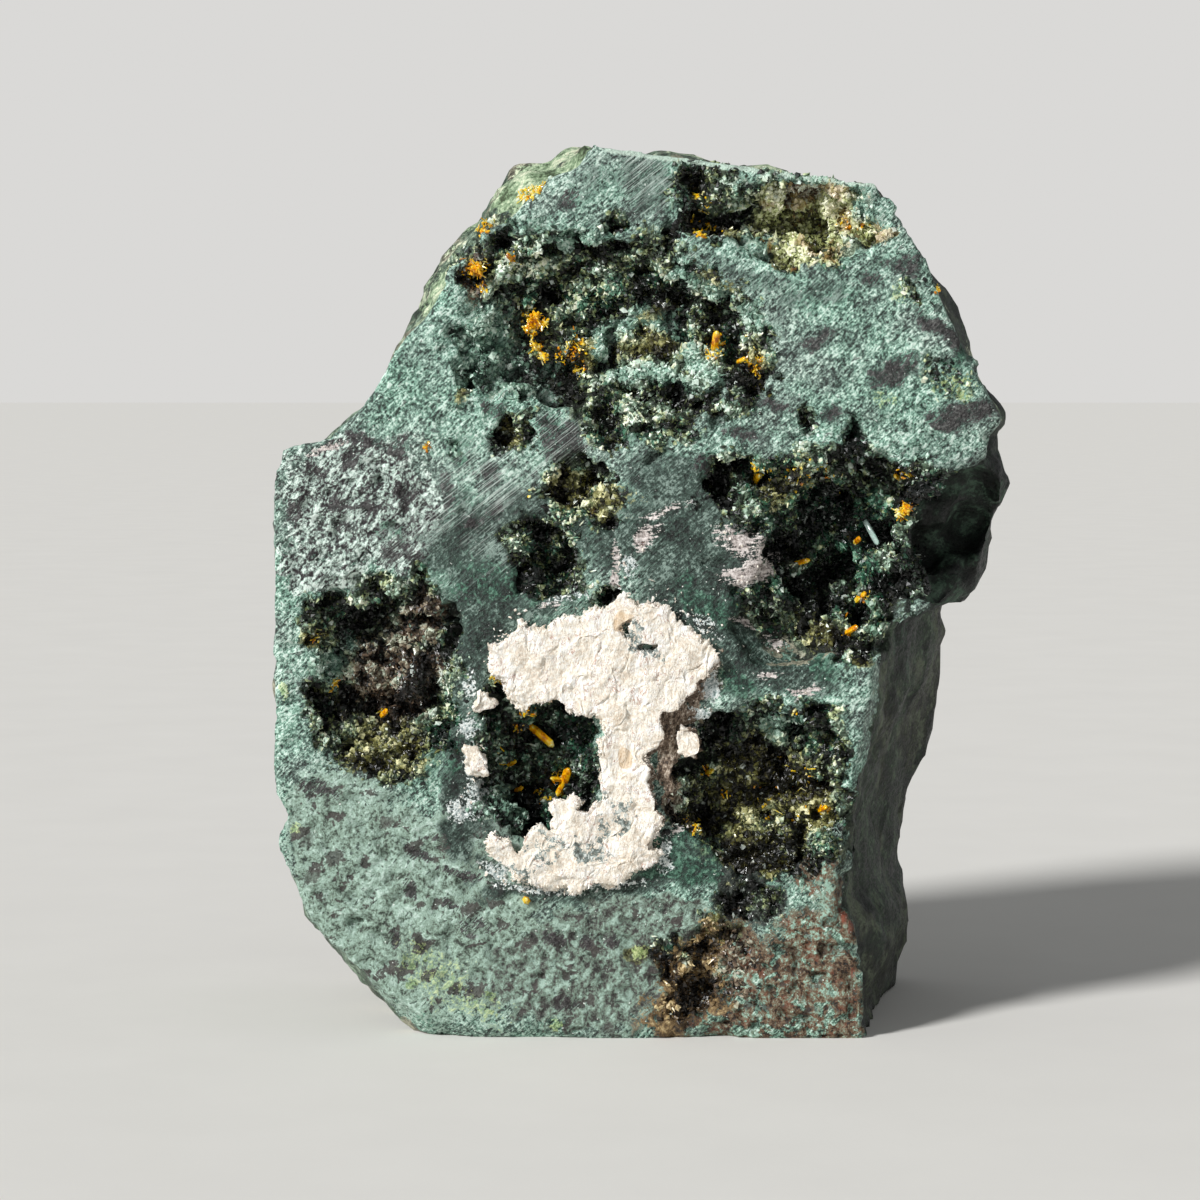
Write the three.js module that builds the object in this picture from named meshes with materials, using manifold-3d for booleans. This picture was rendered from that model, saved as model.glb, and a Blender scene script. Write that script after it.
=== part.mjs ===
// A hand specimen of kasolite on malachite. The rock has one sawn face and stands on a flat base.
// A chalky white crust lies on the sawn face, and orange kasolite prisms grow in the hollows.
// Millimetres, +Z up. The sawn face looks along -Y and lies at y = 0; the rock goes back along +Y.
// Places are given as x and z on the sawn face until the last lines centre the whole specimen.
import * as THREE from "three";
import { ImprovedNoise } from "three/addons/math/ImprovedNoise.js";
import { mergeVertices } from "three/addons/utils/BufferGeometryUtils.js";
import Module from "manifold-3d";

const wasm = await Module();
wasm.setup();
const noise = new ImprovedNoise();

const blockDepth = 21; // sawn face to the back
const depthSteps = 9; // rings of facets along the sides
const longestEdge = 2.6; // longer stretches of the outline are split
const core = { x: -1, z: 20 }; // the flares are measured round this point
const wallRoughness = 0.55; // how far the broken sides wander
const wallGrain = 4.5; // size of the lumps on them
const roundedBack = 5; // how far in front of the back its rim starts to close
const backShrink = 0.16; // share that the back rim closes by
const crustThickness = 0.8;
const crustLumps = 0.22; // depth of the wrinkles in its front
const restGap = 0.05; // a crust island to the sawn face
const seatGap = 0.06; // a crystal to its socket

const malachite = { color: 0x3f6b62, roughness: 0.75, metalness: 0 };
const chalk = { color: 0xe9dcc9, roughness: 0.95, metalness: 0 };
const kasolite = { color: 0xd98a12, roughness: 0.3, metalness: 0 };
const paleGlass = { color: 0xa8d4c8, roughness: 0.2, metalness: 0 };

// The sawn face, clockwise from the top corner. Its right side takes in the mass behind the recess.
const faceOutline = [
  [-2.2, 44.9], [0.1, 44.6], [2.8, 44.2], [6.2, 43.7], [11.7, 43.05], [12.7, 42.05], [12.9, 41.15],
  [14.3, 39.3], [15.1, 37.25], [16.0, 35.35], [17.1, 33.05], [18.3, 31.2], [17.5, 30.4], [17.6, 29.4],
  [18.2, 27.9], [17.9, 25.5], [16.9, 23.4], [14.4, 21.6], [11.8, 20.6], [11.9, 19.0], [11.6, 17.0],
  [11.1, 15.0], [10.7, 12.8], [10.2, 10.5], [10.0, 8.2], [10.1, 6.9], [10.8, 5.9], [11.3, 3.8],
  [11.6, 0.0], [7.1, 0.0], [5.1, 0.35], [4.1, 1.0], [3.5, 0.7], [1.5, 0.3], [-1.9, 0.2], [-3.7, 0.4],
  [-4.9, 0.7], [-6.8, 0.45], [-8.6, 0.55], [-9.9, 1.15], [-10.5, 0.85], [-11.4, 1.65], [-12.8, 2.6],
  [-14.0, 3.6], [-15.6, 5.05], [-16.7, 6.4], [-17.1, 7.45], [-18.1, 9.75], [-18.0, 10.6], [-17.5, 11.35],
  [-18.2, 12.45], [-18.3, 14.25], [-18.3, 22.25], [-18.2, 28.2], [-17.7, 29.95], [-15.2, 30.35],
  [-13.7, 31.8], [-13.1, 32.75], [-11.9, 35.0], [-10.5, 36.4], [-9.1, 38.75], [-7.9, 40.25], [-6.6, 40.95],
  [-5.6, 42.0], [-4.2, 43.25], [-2.8, 43.75], [-2.6, 44.4],
];

// How the sides leave the outline towards the back: angle round the core, shift in x and z, and how
// deep that shift is reached.
const flares = [
  [-180, -0.2, 0, 8], [-150, 0.2, -0.6, 10], [-125, 0, -2.4, 3], [-90, 0, -3, 2], [-62, 1.2, -3, 3],
  [-57, 2.4, -1, 16], [-53, 4.2, -0.5, 16], [-47, 5.3, 0, 16], [-30, 5.4, 0, 16], [-12, 5.3, 0.3, 16],
  [2, 5.3, 0.6, 15], [10, 1.6, 0, 9], [22, 0.9, 0, 8], [34, 0.9, 0.2, 8], [45, 1.4, 0.4, 9],
  [62, 0.8, 0.3, 12], [90, -0.8, 0.3, 12], [97, -2.0, 0.8, 8], [106, -1.7, 0.8, 8], [116, -1.1, 0.6, 8],
  [126, -0.2, 0, 8], [146, 0.2, -0.3, 9], [180, -0.2, 0, 8],
];

// Hollows in the sawn face: centre, half width, half height, depth and facets.
const hollows = [
  { x: -4.9, z: 14.3, width: 3.1, height: 4.4, depth: 3.4, facets: 5 },
  { x: 10.4, z: 24.6, width: 4.2, height: 4.7, depth: 3.6, facets: 5 },
  { x: 7.9, z: 20.8, width: 3.3, height: 1.9, depth: 2.1, facets: 3 },
  { x: -12.6, z: 18.4, width: 3.9, height: 4.8, depth: 2.2, facets: 5 },
  { x: 6.3, z: 12.7, width: 4.3, height: 4.3, depth: 2.8, facets: 5 },
  { x: -1.9, z: 35.6, width: 7.2, height: 4.7, depth: 1.7, facets: 6 },
  { x: 7.6, z: 41.0, width: 4.6, height: 1.7, depth: 2.0, facets: 4 },
  { x: -4.4, z: 24.0, width: 1.6, height: 1.7, depth: 1.5, facets: 3 },
  { x: -3.0, z: 28.2, width: 1.6, height: 1.5, depth: 1.3, facets: 3 },
  { x: 5.6, z: 28.2, width: 2.3, height: 1.0, depth: 1.5, facets: 3 },
  { x: -6.4, z: 30.9, width: 0.8, height: 0.7, depth: 0.9, facets: 2 },
  { x: -8.5, z: 34.2, width: 0.5, height: 1.7, depth: 0.9, facets: 2 },
  { x: 3.6, z: 3.6, width: 1.6, height: 2.2, depth: 0.7, facets: 3 },
];

// The broken recess under the overhang at the right.
const recess = { x: 17.6, y: -0.6, z: 25.3, width: 4.3, depth: 7.4, height: 4.1, facets: 5 };

// The crust on the sawn face, clockwise from its peak, and its two holes, anticlockwise.
const crustOutline = [
  [-0.8, 22.6], [0.1, 22.2], [1.0, 21.9], [1.9, 21.4], [2.4, 20.8], [3.2, 20.1], [4.2, 19.1], [3.4, 18.3],
  [2.6, 17.4], [1.9, 16.8], [1.4, 16.7], [1.0, 15.5], [0.6, 14.4], [0.6, 12.5], [1.0, 10.9], [0.7, 9.8],
  [1.0, 9.0], [-0.9, 8.1], [-1.9, 7.9], [-3.1, 7.5], [-5.0, 7.9], [-6.2, 8.3], [-7.2, 9.4], [-7.6, 10.5],
  [-6.6, 10.0], [-6.0, 9.5], [-5.2, 10.6], [-4.3, 10.8], [-3.9, 12.1], [-3.1, 12.2], [-2.8, 11.5],
  [-1.8, 12.3], [-2.0, 13.2], [-2.0, 15.2], [-1.4, 15.5], [-2.2, 16.5], [-3.1, 16.7], [-4.3, 17.3],
  [-4.9, 17.3], [-5.1, 17.0], [-5.9, 16.6], [-6.5, 17.1], [-6.8, 18.2], [-7.4, 19.1], [-7.2, 19.8],
  [-5.9, 21.0], [-4.2, 20.6], [-3.2, 21.4], [-1.4, 21.8],
];
const crustHoles = [
  [[-0.8, 20.4], [-0.5, 20.3], [-0.4, 21.2], [-0.8, 21.2]],
  [[0.2, 19.7], [0.8, 19.8], [0.9, 20.2], [0.1, 20.2]],
];
const crustIslands = {
  crust_fleck_upper: [[-8.2, 17.6], [-7.5, 17.8], [-7.1, 17.1], [-7.4, 16.6], [-8.2, 16.6]],
  crust_fleck_lower: [[-8.6, 14.7], [-7.9, 14.9], [-7.5, 14.2], [-7.8, 13.5], [-8.5, 13.6]],
  crust_lobe: [[1.9, 15.5], [2.8, 15.6], [3.4, 15.1], [3.2, 14.4], [2.4, 14.1], [1.8, 14.6]],
};

// Kasolite prisms by node. Each row: seat x and z on the rock, direction of growth, length and width.
const crystals = {
  kasolite_prism_long: [[-5.3, 15.5, 0.72, -0.35, -0.6, 1.9, 0.5]],
  kasolite_prism_upper: [
    [-5.4, 16.4, -0.35, -0.8, 0.3, 0.9, 0.34],
    [-5.5, 16.3, 0.3, -0.8, -0.4, 0.8, 0.3],
  ],
  kasolite_cluster_low: [
    [-3.7, 12.7, 0.25, -0.55, 0.8, 1.2, 0.5],
    [-3.9, 12.8, -0.8, -0.6, 0.2, 0.8, 0.34],
    [-3.8, 12.5, -0.4, -0.7, -0.7, 0.9, 0.36],
  ],
  kasolite_crystal_side: [[-6.5, 13.6, 0.5, -0.7, 0.3, 0.8, 0.3]],
  kasolite_crystal_foot: [[-6.1, 12.3, 0.5, -0.8, 0.3, 0.7, 0.3]],
  kasolite_rod_orange: [[8.0, 23.9, 0.85, -0.5, 0.25, 1.2, 0.36]],
  kasolite_cluster_rim: [
    [13.4, 26.5, 0.4, -0.8, 0.5, 1.1, 0.5],
    [13.5, 26.7, -0.5, -0.7, -0.4, 0.8, 0.36],
  ],
  kasolite_crystal_overhang: [[13.2, 28.3, -0.3, -0.8, 0.2, 0.9, 0.32]],
  kasolite_crystal_edge: [[11.3, 22.1, 0.5, -0.7, 0.5, 0.9, 0.34]],
  kasolite_crystal_sill: [[10.7, 20.6, 0.6, -0.8, 0.4, 0.9, 0.34]],
  kasolite_crystal_gold: [[6.0, 28.2, 0.2, -0.8, 0.5, 0.8, 0.34]],
  kasolite_crystal_pale: [[11.2, 25.0, 0.2, -0.9, 0.3, 0.9, 0.3]],
  kasolite_cluster_gold: [
    [-5.2, 36.1, 0.2, -0.7, 0.7, 0.9, 0.42],
    [-5.0, 36.0, 0.8, -0.6, 0.2, 0.8, 0.36],
    [-5.3, 35.9, -0.6, -0.7, -0.3, 0.7, 0.34],
  ],
  kasolite_cluster_tail: [
    [-5.0, 34.7, -0.3, -0.7, 0.6, 0.8, 0.36],
    [-4.9, 34.6, 0.5, -0.7, -0.5, 0.8, 0.34],
  ],
  kasolite_crystal_orange: [[3.9, 35.0, 0.1, -0.6, 0.8, 1.1, 0.42]],
  kasolite_crystal_right: [[5.1, 34.2, 0.4, -0.8, 0.2, 0.7, 0.3]],
  kasolite_cluster_crest: [
    [-8.0, 38.7, 0.2, -0.9, 0.4, 0.8, 0.42],
    [-7.9, 38.6, -0.6, -0.7, 0.3, 0.7, 0.34],
  ],
  kasolite_crystal_crest: [[-6.3, 39.3, -0.3, -0.9, 0.3, 0.7, 0.3]],
  kasolite_crystal_hollow: [[3.6, 13.2, 0.5, -0.8, 0.3, 0.8, 0.32]],
  kasolite_crystal_corner: [[9.4, 11.4, 0.4, -0.8, 0.3, 0.8, 0.3]],
  kasolite_crystal_left: [[-12.9, 16.3, 0.4, -0.8, 0.4, 0.8, 0.34]],
  kasolite_grain_amber: [[-5.6, 7.05, 0.1, -0.9, 0.3, 0.6, 0.46]],
};
const blades = { pale_blade: [[11.8, 25.8, 0.42, -0.45, -0.8, 1.5, 0.3]] };

// A closed three.js geometry as a solid that can be joined and cut.
function solidOf(geometry) {
  const bare = geometry.clone();
  bare.deleteAttribute("normal");
  bare.deleteAttribute("uv");
  const merged = mergeVertices(bare, 1e-4);
  const mesh = new wasm.Mesh({
    numProp: 3,
    vertProperties: merged.attributes.position.array,
    triVerts: new Uint32Array(merged.index.array),
  });
  return new wasm.Manifold(mesh);
}

function geometryOf(solid) {
  const mesh = solid.getMesh();
  const geometry = new THREE.BufferGeometry();
  geometry.setAttribute("position", new THREE.BufferAttribute(mesh.vertProperties, 3));
  geometry.setIndex(new THREE.BufferAttribute(mesh.triVerts, 1));
  geometry.computeVertexNormals();
  return geometry;
}

// Moves every vertex by a function of its place, so that shared vertices stay together.
function reshape(geometry, move) {
  const position = geometry.attributes.position;
  const point = new THREE.Vector3();
  for (let i = 0; i < position.count; i++) {
    point.fromBufferAttribute(position, i);
    move(point);
    position.setXYZ(i, point.x, point.y, point.z);
  }
  return geometry;
}

function lumps(point, size, shift) {
  return noise.noise(point.x / size + shift, point.y / size + shift, point.z / size - shift);
}

// Splits the long stretches of an outline.
function splitLong(points) {
  return points.flatMap((from, i) => {
    const to = points[(i + 1) % points.length];
    const parts = Math.ceil(Math.hypot(to[0] - from[0], to[1] - from[1]) / longestEdge);
    return Array.from({ length: parts }, (_, k) => [
      from[0] + ((to[0] - from[0]) * k) / parts,
      from[1] + ((to[1] - from[1]) * k) / parts,
    ]);
  });
}

// An outline on the sawn face, swept from y = 0 to y = depth. A negative depth runs to the front.
function sweep(points, depth, options = {}) {
  const shape = new THREE.Shape(points.map(([x, z]) => new THREE.Vector2(x, z)));
  shape.holes = (options.holes ?? []).map((hole) => new THREE.Path(hole.map(([x, z]) => new THREE.Vector2(x, z))));
  const geometry = new THREE.ExtrudeGeometry(shape, {
    depth: Math.abs(depth),
    steps: options.steps ?? 1,
    bevelEnabled: false,
  });
  geometry.rotateX(Math.PI / 2);
  return geometry.translate(0, Math.max(depth, 0), 0);
}

// The flare at a place: shift in x and z and the depth where it is reached, between the table's rows.
function flareAt(x, z) {
  const angle = THREE.MathUtils.radToDeg(Math.atan2(z - core.z, x - core.x));
  const after = flares.findIndex((row) => row[0] >= angle);
  const high = flares[Math.max(after, 1)];
  const low = flares[Math.max(after, 1) - 1];
  const share = (angle - low[0]) / (high[0] - low[0]);
  return low.map((value, i) => THREE.MathUtils.lerp(value, high[i], share)).slice(1);
}

// The broken sides: each ring of the outline is flared, roughened and closed in towards the back.
function breakSides(point) {
  const [shiftX, shiftZ, reached] = flareAt(point.x, point.z);
  const out = Math.min(point.y / reached, 1);
  const lump = wallRoughness * Math.min(point.y / 3, 1) * lumps(point, wallGrain, 7.3);
  const closing = Math.max(0, (point.y - blockDepth + roundedBack) / roundedBack);
  const scale = 1 - backShrink * closing * closing;
  const away = new THREE.Vector2(point.x - core.x, point.z - core.z).normalize();
  point.x = core.x + (point.x + shiftX * out + away.x * lump * 2 - core.x) * scale;
  point.z = core.z + (point.z + shiftZ * out + away.y * lump * 2 - core.z) * scale;
}

// A box whose back is broken and domed. The rock is what lies inside it.
function backBoulder() {
  const box = new THREE.BoxGeometry(50, 30, 50, 15, 1, 16);
  box.translate(0, blockDepth - 15, 25);
  reshape(box, (point) => {
    if (point.y < blockDepth - 0.01) return;
    const dome = Math.hypot((point.x - 1) / 18, (point.z - 22) / 24);
    point.y -= 0.6 + 2.6 * dome ** 2 - 1.4 * lumps(point, 7.5, 2.1) - 0.6 * lumps(point, 3.2, 5.7);
  });
  return solidOf(box);
}

// A rough ball, stretched to its half sizes.
function roughBall(x, y, z, halfX, halfY, halfZ, facets, seed) {
  const ball = new THREE.IcosahedronGeometry(1, facets);
  reshape(ball, (point) => {
    const far = 1 + 0.3 * lumps(point, 0.55, seed) + 0.14 * lumps(point, 0.25, seed + 4);
    point.multiplyScalar(far);
  });
  ball.scale(halfX, halfY, halfZ);
  return solidOf(ball.translate(x, y, z));
}

function hollowBall(hollow, index) {
  const { x, z, width, height, depth, facets } = hollow;
  return roughBall(x, 0, z, width, depth, height, facets, index * 3.7 + 1.2);
}

function recessBall() {
  const { x, y, z, width, depth, height, facets } = recess;
  return roughBall(x, y, z, width, depth, height, facets, 9.4);
}

function baseCut() {
  const slab = new THREE.BoxGeometry(80, 80, 10);
  return solidOf(slab.translate(0, 10, -5));
}

// One prism of six sides with a blunt tip, grown all round by extra. Its root is sunk in the rock.
function prism([x, z, alongX, alongY, alongZ, length, width], depth, extra) {
  const radius = width / 2 + extra;
  const root = -0.22 * length - extra;
  const tip = length * 0.78 + extra;
  const profile = [
    new THREE.Vector2(0, root),
    new THREE.Vector2(radius, root),
    new THREE.Vector2(radius, tip - width * 0.4),
    new THREE.Vector2(radius * 0.35, tip),
    new THREE.Vector2(0, tip),
  ];
  const lathe = new THREE.LatheGeometry(profile, 6);
  lathe.scale(1, 1, 0.75);
  const along = new THREE.Vector3(alongX, alongY, alongZ).normalize();
  lathe.applyQuaternion(new THREE.Quaternion().setFromUnitVectors(new THREE.Vector3(0, 1, 0), along));
  return solidOf(lathe.translate(x, depth, z));
}

// How far behind the sawn face the rock's surface lies at x and z.
function depthAt(rock, x, z) {
  const ray = new THREE.Raycaster(new THREE.Vector3(x, -10, z), new THREE.Vector3(0, 1, 0));
  return ray.intersectObject(rock)[0].point.y;
}

// The prisms of one node, all rooted at the depth of the first one's seat.
function grownTogether(rock, rows, extra = 0) {
  const depth = depthAt(rock, rows[0][0], rows[0][1]);
  return rows.map((row) => prism(row, depth, extra)).reduce((all, one) => all.add(one));
}

function rockSolid() {
  const sides = sweep(splitLong(faceOutline), blockDepth, { steps: depthSteps });
  let rock = solidOf(reshape(sides, breakSides));
  rock = rock.intersect(backBoulder()).subtract(baseCut());
  rock = rock.subtract(recessBall());
  hollows.forEach((hollow, index) => {
    rock = rock.subtract(hollowBall(hollow, index));
  });
  return rock;
}

// The crust is what its outline cuts out of a slab with a lumpy front, so it has upright rims.
function crustGeometry(outline, holes) {
  const slab = new THREE.BoxGeometry(16, crustThickness, 18, 18, 1, 20);
  slab.translate(-2, -restGap - crustThickness / 2, 15);
  reshape(slab, (point) => {
    if (point.y > -crustThickness) return;
    point.y += crustLumps * (1 + lumps(point, 1.9, 3.3) + 0.7 * lumps(point, 0.9, 6.1));
  });
  const sheet = solidOf(sweep(outline, -2 * crustThickness, { holes }));
  return geometryOf(sheet.intersect(solidOf(slab)));
}

function addMesh(group, name, geometry, finish) {
  const mesh = new THREE.Mesh(geometry, new THREE.MeshStandardMaterial(finish));
  mesh.name = name;
  group.add(mesh);
  return mesh;
}

const bareRock = rockSolid();
const rockMesh = new THREE.Mesh(geometryOf(bareRock));
let matrix = bareRock;
for (const rows of [...Object.values(crystals), ...Object.values(blades)]) {
  matrix = matrix.subtract(grownTogether(rockMesh, rows, seatGap));
}

const onSawnFace = new THREE.Group();
addMesh(onSawnFace, "malachite_matrix", geometryOf(matrix), malachite);
addMesh(onSawnFace, "white_crust", crustGeometry(crustOutline, crustHoles), chalk);
for (const [name, outline] of Object.entries(crustIslands)) {
  addMesh(onSawnFace, name, crustGeometry(outline), chalk);
}
for (const [name, rows] of Object.entries(crystals)) {
  addMesh(onSawnFace, name, geometryOf(grownTogether(rockMesh, rows)), kasolite);
}
for (const [name, rows] of Object.entries(blades)) {
  addMesh(onSawnFace, name, geometryOf(grownTogether(rockMesh, rows)), paleGlass);
}

// The origin is the middle of the specimen's footprint, on the surface it stands on.
const extent = new THREE.Box3().setFromObject(onSawnFace);
const middle = extent.getCenter(new THREE.Vector3());
onSawnFace.position.set(-middle.x, -middle.y, -extent.min.z);

const specimen = new THREE.Group();
specimen.add(onSawnFace);
export default specimen;
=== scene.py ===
import math
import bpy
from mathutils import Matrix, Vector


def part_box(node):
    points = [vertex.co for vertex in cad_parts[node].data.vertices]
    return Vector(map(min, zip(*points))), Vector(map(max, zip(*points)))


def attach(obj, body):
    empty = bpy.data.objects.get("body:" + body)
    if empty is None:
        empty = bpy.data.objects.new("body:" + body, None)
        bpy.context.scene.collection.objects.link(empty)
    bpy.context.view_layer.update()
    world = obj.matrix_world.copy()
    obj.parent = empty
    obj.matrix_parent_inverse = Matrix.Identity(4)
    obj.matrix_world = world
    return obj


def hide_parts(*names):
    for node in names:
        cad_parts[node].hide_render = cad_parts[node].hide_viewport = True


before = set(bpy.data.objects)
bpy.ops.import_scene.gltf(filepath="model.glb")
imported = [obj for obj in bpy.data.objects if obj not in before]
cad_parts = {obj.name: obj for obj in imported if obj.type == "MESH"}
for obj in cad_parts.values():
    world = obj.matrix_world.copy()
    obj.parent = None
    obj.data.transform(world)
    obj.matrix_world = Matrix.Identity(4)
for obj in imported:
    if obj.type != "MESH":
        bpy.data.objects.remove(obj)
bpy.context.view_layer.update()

from types import SimpleNamespace

import bpy
import numpy as np
from mathutils import Vector, noise
from mathutils.kdtree import KDTree

mm = 0.001

# Places on the sawn face are u to the right, depth behind the face and w up, in millimetres.
# The crust's left end lies 7.6 mm left of u = 0, and w = 0 is the surface the rock stands on.
crustLeft = 7.6
faceOrigin = Vector((
    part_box("white_crust")[0].x + crustLeft * mm,
    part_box("malachite_matrix")[0].y,
    0,
))


def onFace(u, depth, w):
    return faceOrigin + Vector((u, depth, w)) * mm


# ---- shared steps


def onlySelect(piece):
    bpy.ops.object.select_all(action="DESELECT")
    piece.select_set(True)
    bpy.context.view_layer.objects.active = piece


def applyModifiers(piece):
    onlySelect(piece)
    for modifier in list(piece.modifiers):
        bpy.ops.object.modifier_apply(modifier=modifier.name)


def copyNode(node, name):
    piece = bpy.data.objects.new(name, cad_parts[node].data.copy())
    bpy.context.scene.collection.objects.link(piece)
    piece.data.materials.clear()
    onlySelect(piece)
    bpy.ops.object.mode_set(mode="EDIT")
    bpy.ops.mesh.select_all(action="SELECT")
    bpy.ops.mesh.remove_doubles(threshold=0.0005 * mm)
    bpy.ops.object.mode_set(mode="OBJECT")
    return piece


def voxelRemesh(piece, size):
    modifier = piece.modifiers.new("remesh", "REMESH")
    modifier.mode = "VOXEL"
    modifier.voxel_size = size * mm
    applyModifiers(piece)


def smoothEdges(piece, angle):
    onlySelect(piece)
    bpy.ops.object.shade_smooth_by_angle(angle=math.radians(angle))


def readShape(piece):
    mesh = piece.data
    places = np.empty(len(mesh.vertices) * 3)
    normals = np.empty(len(mesh.vertices) * 3)
    mesh.vertices.foreach_get("co", places)
    mesh.vertices.foreach_get("normal", normals)
    places = places.reshape(-1, 3)
    local = (places - np.array(faceOrigin)) / mm
    return SimpleNamespace(places=places, normals=normals.reshape(-1, 3), local=local, u=local[:, 0],
                           depth=local[:, 1], w=local[:, 2])


# A noise with waves of this size in mm, about -1 to 1. Each use has its own shift, so that no two are alike.
def noiseAt(shape, size, shift, basis="PERLIN_ORIGINAL"):
    return np.array([noise.noise(Vector(p), noise_basis=basis) for p in shape.local / size + shift])


# Rounded lumps with narrow creases between them, from about -1 to 1.
def lumpsAt(shape, size, shift):
    return -noiseAt(shape, size, shift, "VORONOI_F1")


def pushOut(piece, shape, amount):
    moved = shape.places + shape.normals * amount[:, None] * mm
    piece.data.vertices.foreach_set("co", moved.ravel())
    piece.data.update()


def paint(piece, name, values):
    attribute = piece.data.attributes.new(name, "FLOAT", "POINT")
    attribute.data.foreach_set("value", np.ascontiguousarray(values, dtype=np.float32))


def smoothStep(value, low, high):
    t = np.clip((value - low) / (high - low), 0, 1)
    return t * t * (3 - 2 * t)


# A spot is u, w, half width and half height, and then its strength where that isn't 1. A spot that is
# turned has its turn in degrees before its strength. The edge of a spot sways and is soft.
def spotsOn(shape, spots, soft=0.8):
    total = np.zeros(len(shape.u))
    for u, w, halfU, halfW, *others in spots:
        strength = others[-1] if others else 1
        turn = others[0] if len(others) == 2 else 0
        c, s = math.cos(math.radians(turn)), math.sin(math.radians(turn))
        sway = min(1.0, min(halfU, halfW) / 0.8)
        right = shape.u + shape.swayU * sway - u
        up = shape.w + shape.swayW * sway - w
        inside = 1 - np.hypot((right * c + up * s) / halfU, (up * c - right * s) / halfW)
        total = np.maximum(total, strength * np.clip(inside / soft + 0.5, 0, 1))
    return total


sways = ((1.9, 0.9, 3), (0.7, 0.65, 11))  # size, reach and shift of the sway of the spots' edges


def addSway(shape):
    shape.swayU = sum(reach * noiseAt(shape, size, shift) for size, reach, shift in sways)
    shape.swayW = sum(reach * noiseAt(shape, size, shift + 20) for size, reach, shift in sways)


def finishPiece(piece, material, nodes=()):
    piece.data.materials.clear()
    piece.data.materials.append(material)
    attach(piece, "root")
    if nodes:
        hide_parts(*nodes)


# ---- material helpers


# Colours are red, green and blue out of 255, as a screen shows them.
def linear(tone):
    shares = [part / 255 for part in tone]
    return (*[s / 12.92 if s <= 0.04045 else ((s + 0.055) / 1.055) ** 2.4 for s in shares], 1)


noiseSpread = 4.0  # a noise alone keeps close to 0.5


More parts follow.
